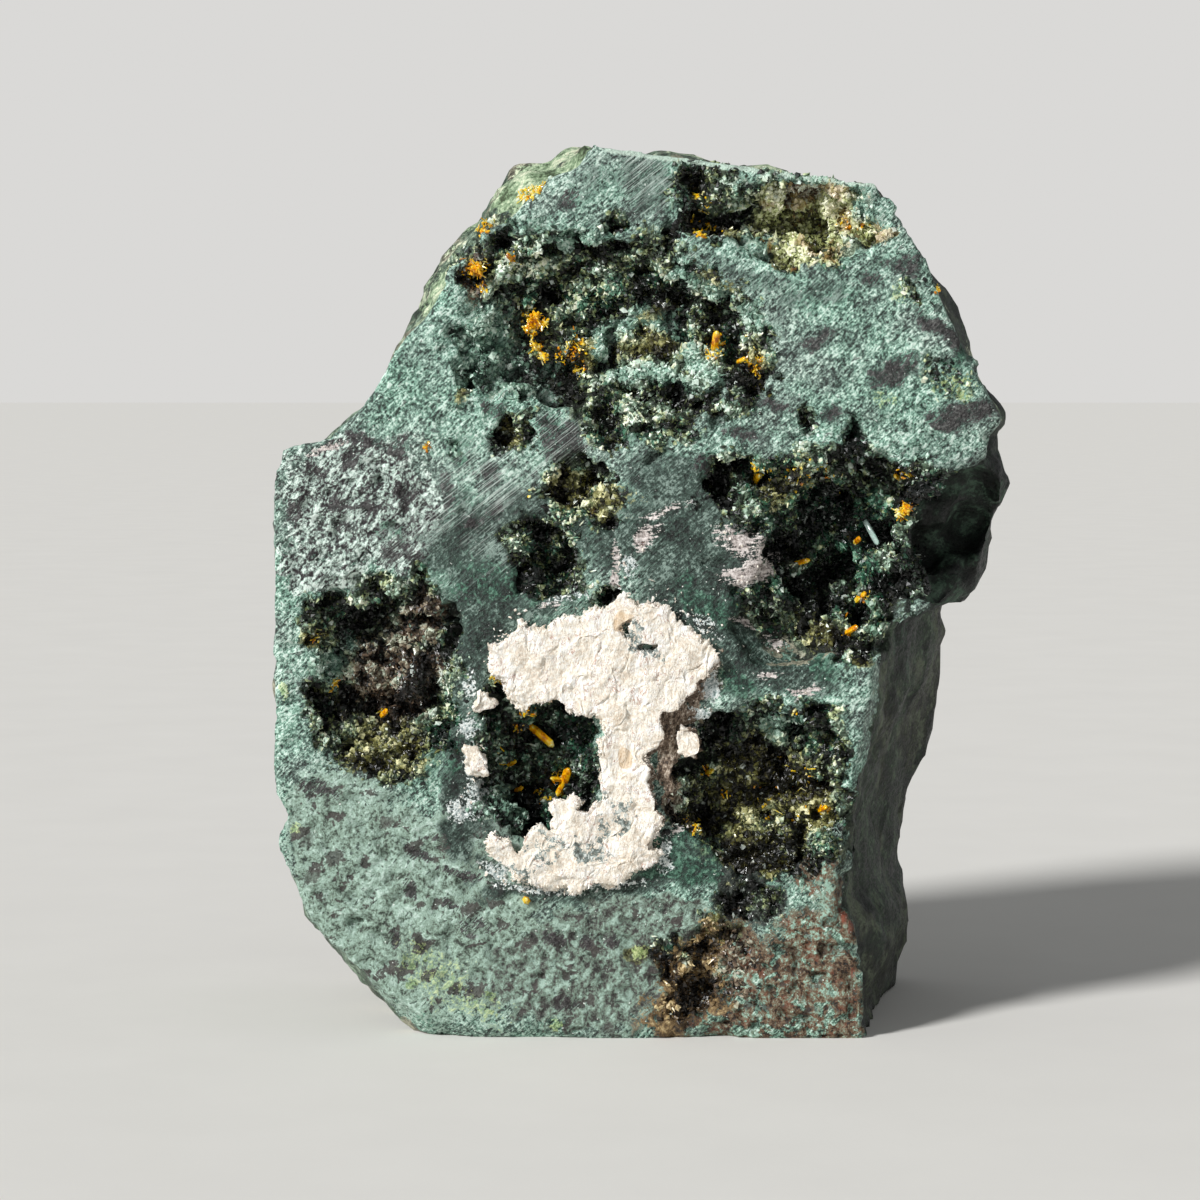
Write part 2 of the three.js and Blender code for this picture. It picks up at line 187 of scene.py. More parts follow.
class Finish:
    def __init__(self, name):
        self.material = bpy.data.materials.new(name)
        self.material.use_nodes = True
        self.nodes = self.material.node_tree.nodes
        self.links = self.material.node_tree.links
        self.surface = self.nodes["Principled BSDF"]
        self.place = self.nodes.new("ShaderNodeTexCoord").outputs["Object"]

    def plug(self, socket, value):
        if isinstance(value, bpy.types.NodeSocket):
            self.links.new(value, socket)
        else:
            socket.default_value = linear(value) if socket.type == "RGBA" else value

    def dress(self, inputs):
        for name, value in inputs.items():
            self.plug(self.surface.inputs[name], value)

    def maths(self, operation, a, b=0.0):
        node = self.nodes.new("ShaderNodeMath")
        node.operation = operation
        self.plug(node.inputs[0], a)
        self.plug(node.inputs[1], b)
        return node.outputs[0]

    def times(self, a, b):
        return self.maths("MULTIPLY", a, b)

    def total(self, *parts, start=0.0):
        value = start
        for source, share in parts:
            node = self.nodes.new("ShaderNodeMath")
            node.operation = "MULTIPLY_ADD"
            for socket, number in zip(node.inputs, (source, share, value)):
                self.plug(socket, number)
            value = node.outputs[0]
        return value

    # Several noises as one that is mostly between 0 and 1, with 0.5 in the middle.
    def mixed(self, *parts):
        size = math.sqrt(sum(share ** 2 for source, share in parts))
        weighted = [(source, noiseSpread * share / size) for source, share in parts]
        return self.total(*weighted, start=0.5 - sum(share for source, share in weighted) / 2)

    # Where a painted mask reaches, with its soft edge broken up by a noise.
    def within(self, name, ragged, reach=0.5, broken=0.55, soft=0.07):
        mask = self.mask(name)
        value = self.total((mask, 1.0), (ragged, broken), start=-broken / 2)
        broken = self.step(value, 1 - reach - soft, 1 - reach + soft)
        return self.times(broken, self.step(mask, 0.02, 0.2))

    # One tone covers another where a mask is painted.
    def cover(self, tone, over, name, ragged, *edge, share=1.0):
        return self.blend(self.times(self.within(name, ragged, *edge), share), tone, over)

    def grain(self, size, detail=3, rough=0.55, twist=0.0, place=None):
        node = self.nodes.new("ShaderNodeTexNoise")
        self.plug(node.inputs["Vector"], place or self.place)
        node.inputs["Scale"].default_value = 1 / (size * mm)
        node.inputs["Detail"].default_value = detail
        node.inputs["Roughness"].default_value = rough
        node.inputs["Distortion"].default_value = twist
        return node.outputs["Fac"]

    def cells(self, size, place=None):
        node = self.nodes.new("ShaderNodeTexVoronoi")
        self.plug(node.inputs["Vector"], place or self.place)
        node.inputs["Scale"].default_value = 1 / (size * mm)
        return node.outputs["Distance"], node.outputs["Color"]

    def turned(self, turn, scale):
        node = self.nodes.new("ShaderNodeMapping")
        node.vector_type = "TEXTURE"
        self.plug(node.inputs["Vector"], self.place)
        node.inputs["Rotation"].default_value = [math.radians(a) for a in turn]
        node.inputs["Scale"].default_value = scale
        return node.outputs[0]

    def step(self, value, low, high, start=0.0, end=1.0):
        node = self.nodes.new("ShaderNodeMapRange")
        node.interpolation_type = "SMOOTHSTEP"
        self.plug(node.inputs["Value"], value)
        for socket, number in zip(list(node.inputs)[1:5], (low, high, start, end)):
            socket.default_value = number
        return node.outputs[0]

    def mask(self, name):
        node = self.nodes.new("ShaderNodeAttribute")
        node.attribute_name = name
        return node.outputs["Fac"]

    def tones(self, value, *colours):
        ramp = self.nodes.new("ShaderNodeValToRGB")
        stops = ramp.color_ramp.elements
        while len(stops) < len(colours):
            stops.new(0.5)
        for index, tone in enumerate(colours):
            stops[index].position = index / (len(colours) - 1)
            stops[index].color = linear(tone)
        self.plug(ramp.inputs[0], value)
        return ramp.outputs[0]

    def blend(self, share, a, b):
        node = self.nodes.new("ShaderNodeMix")
        node.data_type = "RGBA"
        self.plug(node.inputs[0], share)
        self.plug(node.inputs[6], a)
        self.plug(node.inputs[7], b)
        return node.outputs[2]

    def bump(self, height, strength, distance, after=None):
        node = self.nodes.new("ShaderNodeBump")
        node.inputs["Strength"].default_value = strength
        node.inputs["Distance"].default_value = distance * mm
        self.plug(node.inputs["Height"], height)
        if after:
            self.plug(node.inputs["Normal"], after)
        return node.outputs[0]


# ---- camera and light

camera = dict(
    aim=(-1.87, 0, 22.25),  # on the face
    distance=167,
    elevation=4.0,
    lens=100,
    sensor=36,
    clip=(0.005, 20),  # metres
)


def setCamera():
    data = bpy.data.cameras.new("camera")
    data.lens = camera["lens"]
    data.sensor_width = camera["sensor"]
    data.clip_start, data.clip_end = camera["clip"]
    eye = bpy.data.objects.new("camera", data)
    bpy.context.scene.collection.objects.link(eye)
    aim = onFace(*camera["aim"])
    lift = math.radians(camera["elevation"])
    eye.location = aim + Vector((0, -math.cos(lift), math.sin(lift))) * camera["distance"] * mm
    eye.rotation_euler = (aim - eye.location).to_track_quat("-Z", "Y").to_euler()
    bpy.context.scene.camera = eye


studio = dict(
    keyPower=3.9,
    keyWidth=11,  # degrees across, as a softbox would be
    keyFrom=(-0.78, -0.70, 0.66),
    sky=0.28,
    skyColour=(0.96, 0.98, 1, 1),
    backdrop=0.70,
    backdropColour=(1, 0.99, 0.97, 1),
    floorSize=6,  # metres
    floorGrain=9,
    floorTones=((226, 224, 219), (219, 217, 212)),
)


def setStudio():
    data = bpy.data.lights.new("keyLight", "SUN")
    data.energy = studio["keyPower"]
    data.angle = math.radians(studio["keyWidth"])
    lamp = bpy.data.objects.new("keyLight", data)
    bpy.context.scene.collection.objects.link(lamp)
    lamp.rotation_euler = (-Vector(studio["keyFrom"])).to_track_quat("-Z", "Y").to_euler()
    world = bpy.data.worlds.new("studio")
    world.use_nodes = True
    nodes, links = world.node_tree.nodes, world.node_tree.links
    sky = nodes["Background"]
    sky.inputs["Strength"].default_value = studio["sky"]
    sky.inputs["Color"].default_value = studio["skyColour"]
    backdrop = nodes.new("ShaderNodeBackground")
    backdrop.inputs["Color"].default_value = studio["backdropColour"]
    backdrop.inputs["Strength"].default_value = studio["backdrop"]
    choice = nodes.new("ShaderNodeMixShader")
    links.new(nodes.new("ShaderNodeLightPath").outputs["Is Camera Ray"], choice.inputs[0])
    links.new(sky.outputs[0], choice.inputs[1])
    links.new(backdrop.outputs[0], choice.inputs[2])
    links.new(choice.outputs[0], nodes["World Output"].inputs["Surface"])
    bpy.context.scene.world = world
    bpy.context.scene.view_settings.view_transform = "Standard"
    bpy.ops.mesh.primitive_plane_add(size=studio["floorSize"], location=(0, 0, 0))
    floor = bpy.context.active_object
    floor.name = "floor"
    finish = Finish("paleFloor")
    tone = finish.blend(finish.grain(studio["floorGrain"], 4), *studio["floorTones"])
    finish.dress({"Base Color": tone, "Roughness": 0.9, "Specular IOR Level": 0.1})
    floor.data.materials.append(finish.material)


bpy.ops.object.select_all(action="DESELECT")
setCamera()
setStudio()
print("camera and studio set")

# ---- the rock

rock = dict(
    voxel=0.33,  # mm; the sawn face is halved once more
    sawnReach=6.0,  # mm behind the face that still count as the sawn side
    sawnTurn=-0.12,  # where a facet faces front at least this far
    sawnSkin=0.5,  # mm that count however a facet is turned
    evened=8,  # rounds of smoothing on the sides and back, where the remesh leaves terraces
    sideShare=0.25,  # of the facets on the sides and back that are kept
    drift=((1.2, 0.55), (0.5, 0.22)),  # size and reach of the moves along the face
    lumps=((1.3, 0.34), (0.55, 0.24)),  # size and height in the granular parts
    pits=((2.0, 5, 0.0, 0.42, 0.8), (0.8, 9, 0.15, 0.45, 0.5)),  # size, shift, rim, floor and depth
    weave=(0.4, 0.06),  # relief of the sawn surface
    pitted=((0.5, 0.07), (0.7, 0.3)),  # its lumps and pits where it is weathered
    sides=((4.2, 0.55), (1.3, 0.24), (0.6, 0.1)),  # size and height of the lumps on the sides and back
    rimReach=7.5,  # mm behind the face that the rims drift
    paintReach=9.5,  # mm behind the face that the hollows are painted
    facing=(0.1, 0.45),  # how far a facet has turned to the front
    granular=(0.25, 0.75),  # how strongly a spot has to be painted
    grains=(0.3, 0.7),
    hollow=(0.3, 0.7),  # mm behind the face
    front=(2.2, 1.0),  # mm behind the face, up to which a facet that faces front is not a side
    cream=(9, 5.5, 5),  # reach and size of the wander of the creamy bands, full at this depth
    smooth=60,  # degrees up to which an edge is smooth
)

# Where the face is granular. Each part gets its own grains.
druse = dict(
    upper=[
        (-5.6, 38.6, 2.6, 2.3), (-2.3, 38.2, 3.2, 2.4), (0.6, 37.6, 2.6, 2.9), (3.3, 36.0, 2.6, 2.4),
        (5.5, 34.5, 1.4, 2.3), (-1.6, 34.9, 3.6, 2.3), (-5.2, 36.0, 1.2, 2.0, 10, 1),
        (0.5, 34.5, 3.6, 2.2, 0.9), (0.8, 32.2, 3.4, 1.2, 0.85), (-1.6, 31.0, 1.1, 1.6),
        (1.2, 30.6, 1.5, 0.8, 0.75), (4.5, 31.8, 1.4, 0.6, 0.7), (-8.2, 38.9, 1.1, 1.0, 0.8),
        (-7.0, 35.2, 2.4, 2.8, 0.6), (-1.1, 41.2, 0.5, 0.6, 0.9),
    ],
    crest=[
        (3.6, 42.6, 2.3, 1.3, -8, 0.95), (4.2, 41.1, 2.0, 0.9, 8, 1), (8.4, 41.6, 3.1, 2.0, -8, 1),
        (8.6, 39.8, 1.8, 0.8, -5, 0.9), (11.2, 40.9, 1.9, 0.5, -8, 0.9), (6.3, 42.0, 1.2, 1.2, 0.9),
        (13.6, 37.6, 0.9, 0.8, 0.5), (15.4, 33.4, 1.6, 1.2, -50, 0.45),
    ],
    middle=[
        (-3.1, 27.9, 1.7, 1.4, -20, 1), (-1.7, 26.7, 1.2, 0.9, -30, 0.9), (-4.7, 24.9, 1.8, 1.9),
        (-3.8, 23.3, 1.7, 1.0, 0.75), (-6.2, 30.7, 0.9, 0.9), (-8.5, 33.7, 0.5, 1.9, -8, 1),
        (-8.5, 35.5, 0.6, 0.5), (-5.7, 32.7, 0.35, 0.35), (8.4, 31.3, 0.5, 0.9, 15, 0.9),
        (10.6, 30.7, 0.6, 0.6, 0.8), (-9.2, 29.6, 0.9, 0.6, 30, 0.5), (-1.7, 22.3, 0.7, 0.4, 15, 0.9),
    ],
    right=[
        (7.6, 27.7, 3.6, 2.1), (5.2, 28.3, 1.8, 1.2, 15, 1), (10.8, 27.4, 2.8, 2.7), (12.6, 26.9, 1.5, 2.4),
        (13.8, 28.5, 1.2, 0.9), (14.6, 28.0, 1.0, 1.1),
    ],
    rightLow=[
        (10.4, 24.0, 3.2, 2.4), (8.6, 24.4, 1.5, 1.6), (8.6, 21.8, 2.6, 1.6), (6.4, 21.9, 1.2, 0.8, -35, 0.9),
        (10.6, 20.9, 1.4, 1.5), (12.9, 23.6, 1.2, 1.6), (11.5, 19.5, 0.7, 0.5, 0.8),
    ],
    left=[
        (-12.4, 21.6, 2.4, 2.0), (-13.6, 22.6, 0.8, 0.9), (-12.2, 18.2, 3.1, 3.0),
        (-13.0, 15.4, 2.4, 1.8, 0.95), (-10.2, 16.6, 1.2, 2.0, 0.9), (-15.6, 21.4, 1.4, 0.9, 0.9),
        (-10.8, 23.4, 0.5, 0.7), (-15.8, 17.0, 1.0, 2.4, 0.65), (-12.0, 13.7, 1.6, 0.7, 0.7),
        (-14.6, 19.5, 1.5, 1.3, 0.9),
    ],
    hook=[
        (-5.0, 15.0, 2.8, 2.1), (-4.6, 12.9, 2.6, 1.9), (-6.2, 11.6, 1.5, 1.5), (-7.0, 17.6, 0.7, 0.9),
        (-5.7, 10.6, 1.2, 0.6, -10, 0.9),
    ],
    low=[
        (6.4, 15.2, 3.2, 1.7), (9.0, 15.0, 1.6, 2.1), (5.6, 12.0, 3.4, 2.6), (8.9, 11.6, 1.5, 2.8),
        (2.4, 12.2, 1.1, 1.5, 0.95), (7.0, 9.3, 2.6, 0.9, 0.9), (2.4, 3.0, 1.8, 2.2, 0.75),
        (3.6, 5.2, 1.1, 1.1, 0.8), (5.0, 3.2, 1.0, 2.4, 0.5), (5.6, 7.0, 1.4, 1.0, 0.8),
    ],
)

# Deep pockets, as spots whose strength is their depth in mm.
pockets = [
    (-6.4, 40.2, 0.6, 0.4, 0.7), (-4.6, 37.5, 1.3, 0.35, 0.8), (-6.4, 37.6, 0.5, 0.5, 0.7),
    (-1.1, 41.1, 0.35, 0.45, 0.6), (-0.8, 39.6, 0.7, 0.3, 0.6), (1.4, 40.2, 0.35, 0.7, 0.8),
    (1.8, 37.7, 0.9, 0.6, 0.8), (-2.8, 38.5, 0.35, 0.3, 0.5), (-1.4, 36.9, 0.9, 0.3, 20, 0.5),
    (2.3, 35.8, 0.3, 0.6, 0.6), (-1.2, 35.2, 0.3, 0.9, 0.7), (-2.9, 36.0, 0.5, 0.4, 0.6),
    (-3.3, 33.7, 0.4, 0.4, 0.6), (-1.6, 33.8, 0.5, 0.35, 0.6), (-0.5, 32.8, 0.5, 0.45, 0.8),
    (0.7, 32.8, 0.3, 0.3, 0.6), (-1.5, 31.5, 0.6, 0.8, 0.8), (0.9, 29.4, 0.7, 0.2, 30, 0.5),
    (4.2, 36.6, 0.8, 0.6, 0.6), (3.9, 32.9, 0.35, 0.8, 0.7), (4.9, 34.5, 0.6, 0.7, 0.7),
    (5.4, 33.2, 0.4, 0.9, 0.7), (3.9, 31.1, 0.4, 0.3, 0.5), (4.7, 41.5, 1.4, 0.45, 10, 0.9),
    (3.4, 41.0, 0.5, 0.5, 0.7), (3.2, 43.3, 0.4, 0.3, 0.4), (7.9, 42.2, 0.8, 0.3, -10, 0.6),
    (8.4, 31.1, 0.4, 0.7, 20, 0.7), (10.6, 30.6, 0.5, 0.4, 0.6), (-6.6, 30.7, 0.4, 0.6, -30, 0.8),
    (-8.5, 35.4, 0.4, 0.35, 0.6), (-8.4, 33.3, 0.3, 0.8, -5, 0.7), (-5.7, 32.7, 0.25, 0.25, 0.6),
    (-2.0, 28.2, 0.6, 0.3, -20, 0.8), (-3.9, 27.6, 0.5, 0.4, 0.6), (-5.9, 23.6, 0.5, 1.0, 0.8),
    (-4.7, 25.3, 0.6, 0.4, 0.7), (-1.7, 22.3, 0.7, 0.25, 15, 0.6), (3.8, 28.1, 0.5, 0.35, 20, 0.8),
    (4.8, 28.8, 0.9, 0.4, 25, 1.0), (11.6, 28.6, 0.8, 0.6, 0.9), (10.9, 27.2, 0.5, 1.2, 0.9),
    (7.4, 24.4, 0.5, 0.8, 0.7), (10.2, 23.4, 0.9, 1.2, 1.1), (9.0, 22.7, 1.6, 0.3, 0.8),
    (4.9, 22.7, 0.35, 0.3, 0.5), (11.0, 21.4, 0.6, 0.6, 0.8), (3.8, 24.1, 0.4, 0.3, 0.25),
    (-13.2, 21.8, 0.6, 1.3, 0.9), (-13.2, 20.5, 0.9, 0.4, 0.8), (-13.6, 19.2, 1.0, 0.4, 0.7),
    (-10.7, 22.6, 0.45, 0.4, 0.7), (-10.7, 23.5, 0.25, 0.4, 0.6), (-9.5, 21.1, 0.35, 0.9, 0.8),
    (-12.1, 16.8, 0.5, 0.4, 0.6), (-14.5, 14.9, 0.35, 0.4, 0.5), (-15.2, 21.9, 0.35, 0.6, 0.5),
    (-16.4, 21.7, 0.4, 0.5, 0.5), (-7.4, 16.9, 0.4, 0.6, 0.7), (-3.3, 16.7, 1.0, 0.3, -20, 0.7),
    (3.5, 11.4, 0.35, 0.8, 0.8), (3.9, 10.3, 0.3, 0.5, 0.6), (8.4, 10.2, 0.4, 0.7, 0.9),
    (4.6, 16.3, 0.9, 0.5, 0.7), (7.8, 15.4, 0.4, 0.5, 0.6), (10.1, 13.2, 0.4, 0.4, 0.6),
    (2.6, 13.7, 0.9, 0.4, 25, 0.7), (1.5, 11.9, 0.3, 0.4, 0.6), (3.4, 4.8, 0.3, 0.5, 0.5),
    (1.5, 3.4, 0.25, 0.4, 0.3), (-12.1, 25.9, 0.3, 0.25, 0.3), (-13.0, 28.0, 0.25, 0.35, 0.3),
]

tints = dict(
    # crumbly pale aqua on ridges and rims
    pale=[
        (-1.8, 35.0, 0.6, 1.2, -20, 1), (0.3, 36.2, 1.8, 0.45), (2.7, 34.6, 1.8, 0.5, -45, 1),
        (0.9, 33.4, 2.8, 0.4, -5, 0.8), (-3.9, 33.8, 1.0, 0.5, 0.8), (-3.5, 39.9, 1.6, 0.4, 0.8),
        (-2.2, 40.5, 1.4, 0.8, 0.9), (2.4, 38.6, 0.6, 0.9, 20, 0.9), (3.4, 37.9, 1.6, 0.4, -15, 0.8),
        (-6.6, 36.6, 1.0, 0.6, 0.7), (-7.0, 33.8, 1.8, 1.8, 0.9), (-5.0, 32.6, 1.2, 0.8, 0.8),
        (-7.8, 35.2, 2.0, 2.2, 20, 1), (-8.9, 31.4, 2.4, 2.2, 0.7), (5.6, 36.5, 0.8, 0.8, 0.7),
        (-4.6, 41.0, 1.8, 0.5, 0.8), (2.1, 41.9, 0.8, 1.2, 0.6), (8.0, 30.6, 2.2, 0.4, 0.6),
        (13.2, 30.0, 1.7, 0.6, -12, 1), (15.8, 30.1, 1.7, 0.6, 5, 1), (11.2, 31.0, 1.6, 0.7, 0.7),
        (-17.2, 19.4, 1.2, 1.2), (-16.0, 18.7, 1.3, 0.8), (-17.6, 16.6, 0.8, 1.8, 0.9),
        (-14.6, 19.9, 0.6, 0.4, 0.9), (7.2, 15.6, 0.9, 1.0, 0.7), (11.6, 42.2, 1.7, 0.8, -30, 1),
        (9.2, 43.0, 3.0, 0.4, -7, 0.9), (5.6, 43.0, 1.4, 0.5, -7, 0.5), (6.2, 39.9, 2.0, 0.8, -30, 0.7),
        (-10.5, 11.0, 6.0, 2.2, 0.6), (-15.4, 9.0, 2.0, 2.4, 0.6), (8.6, 7.4, 1.1, 0.8, 0.7),
        (-13.4, 24.2, 1.6, 0.7, 10, 0.7), (9.6, 19.2, 1.0, 0.4, 0.6), (3.6, 8.0, 0.5, 0.5, 0.7),
        (4.9, 5.8, 0.5, 0.3, 0.9),
    ],
    # flecks of aqua on a purple grey ground, to the left
    threads=[(-14.2, 27.2, 3.6, 3.2), (-11.6, 25.8, 2.4, 2.0, 0.8), (-15.8, 23.9, 2.2, 1.4, 0.7)],
    # a net of purple grey strokes, low in the middle
    strokes=[(-1.2, 3.8, 4.8, 3.2), (-5.2, 3.2, 2.4, 2.4, 0.8), (2.0, 6.4, 1.6, 0.9, 0.8)],
    specks=[(-11.0, 6.4, 6.4, 4.6, -25, 1), (-14.8, 10.6, 3.0, 3.0, 0.8), (-9.0, 10.6, 3.0, 1.6, 0.6)],
    slate=[
        (-7.6, 25.2, 3.0, 2.0, 30, 0.8), (-7.4, 21.6, 2.2, 2.0), (-8.6, 19.0, 1.0, 2.2),
        (-5.2, 22.2, 2.4, 1.0, 0.8), (-4.4, 26.4, 2.2, 1.0, -30, 0.8), (1.6, 28.0, 2.4, 1.2, -10, 0.8),
        (2.2, 25.6, 2.8, 2.2), (-0.8, 24.9, 1.6, 1.4, 0.9), (3.0, 22.8, 2.6, 2.2, -20, 1),
        (5.2, 20.6, 2.0, 1.8), (4.8, 18.9, 1.3, 1.0), (7.2, 18.5, 2.6, 1.0, 0.9), (5.6, 24.5, 1.5, 1.5, 0.9),
        (-9.0, 13.0, 0.8, 3.0), (-8.7, 10.4, 0.9, 1.0), (-4.2, 7.6, 3.8, 0.6, 3, 1),
        (-0.2, 7.9, 1.6, 0.5, 12, 0.9), (0.4, 43.1, 1.4, 1.6, -10, 0.5), (-2.4, 43.2, 1.4, 0.9, 0.3),
        (5.6, 38.3, 2.0, 0.7, -10, 0.4), (8.6, 37.4, 1.8, 0.7, 20, 0.4), (-7.4, 8.6, 0.9, 0.4, -40, 0.9),
        (2.6, 9.2, 1.9, 1.1), (1.0, 8.4, 1.6, 0.5, 15, 1), (-8.8, 11.4, 1.1, 2.6),
    ],
    purple=[
        (12.7, 33.7, 1.1, 0.45, 35, 1), (13.7, 34.2, 0.4, 0.3, -45, 0.8), (15.1, 35.7, 1.4, 0.4, -42, 1),
        (16.6, 31.7, 1.5, 0.4, 5, 1), (15.6, 31.2, 0.9, 0.4), (9.1, 35.2, 0.8, 0.35, 30, 0.9),
        (11.5, 38.2, 0.5, 0.3, 0.8), (13.4, 39.1, 0.8, 0.5, 0.7), (6.8, 31.9, 0.9, 0.3, -10, 0.8),
        (5.2, 30.5, 0.9, 0.3, 0.8), (3.8, 29.1, 1.0, 0.35, 10, 0.8), (9.7, 31.6, 0.4, 0.3, 0.7),
        (-7.2, 28.5, 0.6, 0.5, 0.7), (-3.8, 30.4, 0.9, 0.8, 0.75), (-7.4, 31.8, 0.6, 0.5, 0.7),
        (-9.5, 27.6, 0.4, 0.9, 20, 0.7), (-8.0, 26.0, 0.4, 0.4, 0.8), (-7.1, 26.8, 0.4, 0.6, 0.7),
        (-11.8, 29.8, 0.4, 0.6, 0.8), (-13.6, 30.1, 0.9, 0.35, 0.8), (-14.4, 29.4, 0.7, 0.3, 40, 0.8),
        (-12.3, 24.8, 0.6, 0.4, 0.8), (-11.3, 24.5, 0.6, 0.4, 0.8), (-16.2, 28.5, 0.5, 0.3, 0.8),
        (-15.0, 27.0, 0.6, 0.35, 0.8), (-13.4, 26.9, 0.6, 0.3, 0.8), (-14.6, 25.9, 0.4, 0.3, 0.8),
        (-11.7, 27.4, 0.35, 0.6, 0.8), (-17.2, 26.7, 0.5, 0.4, 0.7), (-0.5, 39.7, 0.9, 0.4, 0.6),
        (-3.5, 42.1, 0.5, 0.5, 0.7), (-11.4, 7.6, 0.3, 0.6, 15, 1), (-9.6, 6.9, 0.45, 0.25),
        (-10.9, 4.9, 0.5, 0.35, 15, 1), (-12.4, 5.2, 0.25, 0.4), (-11.0, 9.4, 0.7, 0.2, -20, 1),
        (-9.0, 8.4, 1.1, 0.15, -8, 1), (-10.1, 10.3, 0.5, 0.15, 0.9), (-8.5, 2.6, 0.3, 0.4),
        (-4.2, 4.9, 0.4, 0.35), (-1.0, 4.9, 0.35, 0.35), (-2.6, 5.0, 0.3, 0.4, 0.9),
        (-8.2, 5.8, 0.9, 0.5, 0.55), (-16.0, 12.7, 0.9, 0.4, -20, 0.7), (-3.6, 1.9, 0.5, 0.35, 0.9),
        (8.0, 3.3, 0.6, 0.4, -30, 0.8), (10.6, 0.9, 0.5, 0.3, -40, 0.8), (8.4, 35.0, 0.5, 0.3, 0.6),
    ],
    soot=[(5.6, 7.0, 1.5, 1.1), (4.8, 8.1, 0.8, 0.8, 0.9), (6.5, 6.5, 0.7, 0.6)],
    rust=[
        (9.0, 4.4, 2.3, 2.6), (7.4, 2.6, 2.6, 2.4, 0.9), (9.6, 1.6, 2.2, 1.6, 0.9), (10.3, 6.4, 0.7, 1.6),
        (2.9, 2.6, 1.8, 1.9, 0.9), (5.2, 4.6, 1.2, 1.6, 0.8), (3.5, 5.4, 0.9, 0.9, 0.6),
        (-11.0, 21.2, 1.3, 1.0), (-10.9, 18.9, 1.0, 1.3, 0.8), (-14.0, 18.2, 0.9, 0.7, 0.6),
        (-12.4, 18.4, 2.4, 2.4, 0.7), (10.9, 42.0, 1.4, 0.4, -10, 0.3), (8.2, 42.3, 1.2, 0.5, -10, 0.8),
        (9.2, 8.4, 0.9, 0.8, 0.7), (6.8, 0.5, 4.4, 1.1), (2.0, 0.6, 1.8, 0.9, 0.8),
        (-7.9, 38.2, 0.9, 1.6, 10, 0.7),
    ],
    amber=[
        (2.2, 2.4, 1.8, 1.8), (3.4, 4.8, 1.1, 1.4, 0.9), (4.4, 2.0, 1.0, 1.4, 0.7), (1.8, 0.8, 1.4, 0.8, 0.8),
    ],
    # painted light: crumbs in the deep parts painted lighter than the depth around them
    lit=[
        (9.0, 26.2, 2.6, 1.4, 0.65), (9.8, 23.6, 2.0, 1.5, 0.8), (11.6, 26.0, 1.2, 1.6, 0.5),
        (3.2, 3.0, 0.9, 1.2), (-12.4, 18.0, 2.4, 2.2, 0.3), (-1.4, 35.0, 1.6, 1.4, 0.6),
        (0.6, 33.4, 3.0, 1.0, 0.5), (8.6, 42.4, 2.4, 0.7, -8, 0.8), (-2.5, 38.9, 3.4, 1.8, 0.4),
        (3.8, 35.8, 2.4, 2.2, 0.4), (-13.2, 21.6, 2.0, 1.4, 0.45),
    ],
    # the fibrous brown slope to the right of the crust, painted lighter against the crust's shadow
    slope=[
        (1.9, 16.0, 1.2, 1.4, -15, 1), (1.4, 14.2, 1.0, 1.5, -8, 1), (3.0, 17.8, 0.9, 1.3, -42, 1),
        (1.4, 12.3, 0.7, 1.0, 0.9),
    ],
    ember=[
        (10.4, 6.4, 0.22, 0.6, -20, 1), (10.7, 5.7, 0.16, 0.4, 0.8), (-1.0, 22.9, 0.14, 0.14),
        (0.3, 25.1, 0.2, 0.14, 20, 0.9), (10.9, 3.4, 0.12, 0.4, 0.8),
    ],
    olive=[
        (8.4, 41.4, 2.4, 1.2, -8, 1), (10.6, 40.9, 2.2, 0.5, -6, 1), (8.4, 39.8, 1.7, 0.8),
        (-3.0, 34.6, 1.0, 1.0, 0.8), (0.4, 34.9, 1.6, 0.8, 0.9), (1.2, 36.6, 1.3, 0.3, 20, 0.9),
        (5.9, 33.9, 0.5, 0.8, 0.9), (7.4, 27.9, 1.6, 1.0, 0.6), (-3.4, 28.0, 1.2, 1.2, 0.8),
        (-1.6, 26.9, 1.2, 0.8, 0.7), (5.8, 9.4, 2.4, 0.9, 0.9), (8.9, 11.4, 1.2, 1.6, 0.9),
        (6.2, 12.6, 3.4, 2.8, 0.7), (-12.4, 14.9, 2.2, 1.6, 0.7), (8.2, 25.2, 2.2, 2.2, 0.3),
        (8.4, 21.3, 2.0, 1.0, 0.35), (4.3, 5.6, 0.8, 0.7, 0.9), (0.2, 4.3, 0.6, 0.4, 0.9),
        (9.2, 20.4, 1.1, 0.6, 0.8), (-6.2, 30.4, 0.4, 0.5, 0.9), (-8.8, 32.3, 0.4, 0.3, 0.9),
        (4.4, 40.8, 1.1, 0.6, 0.8), (3.1, 42.0, 0.6, 0.4, 0.6), (-16.2, 20.6, 0.7, 0.5, 0.7),
        (-8.0, 39.0, 0.7, 0.5, 20, 0.7), (11.4, 19.2, 0.7, 0.3, -20, 0.9), (2.9, 11.0, 0.7, 0.5, 0.9),
        (4.6, 38.0, 0.8, 0.4, 0.5), (3.6, 38.2, 0.6, 0.4, 0.6),
    ],
    # straw coloured crumbs in the hollow at the top
    straw=[
        (8.6, 41.6, 2.4, 1.4, -8, 1), (10.6, 40.9, 2.2, 0.5, -6, 1), (8.6, 39.8, 1.8, 0.8),
        (6.4, 41.0, 0.8, 0.5, 0.6), (-2.4, 27.0, 0.4, 0.5, 0.5),
    ],
    lime=[
        (-11.3, 3.7, 0.4, 0.35), (-11.4, 2.8, 0.3, 0.25), (-7.3, 2.2, 0.35, 0.2, 0.8),
        (-17.8, 17.7, 0.25, 0.4), (-17.3, 10.6, 0.3, 0.25, 0.7), (-10.6, 3.8, 2.2, 1.2, -30, 0.45),
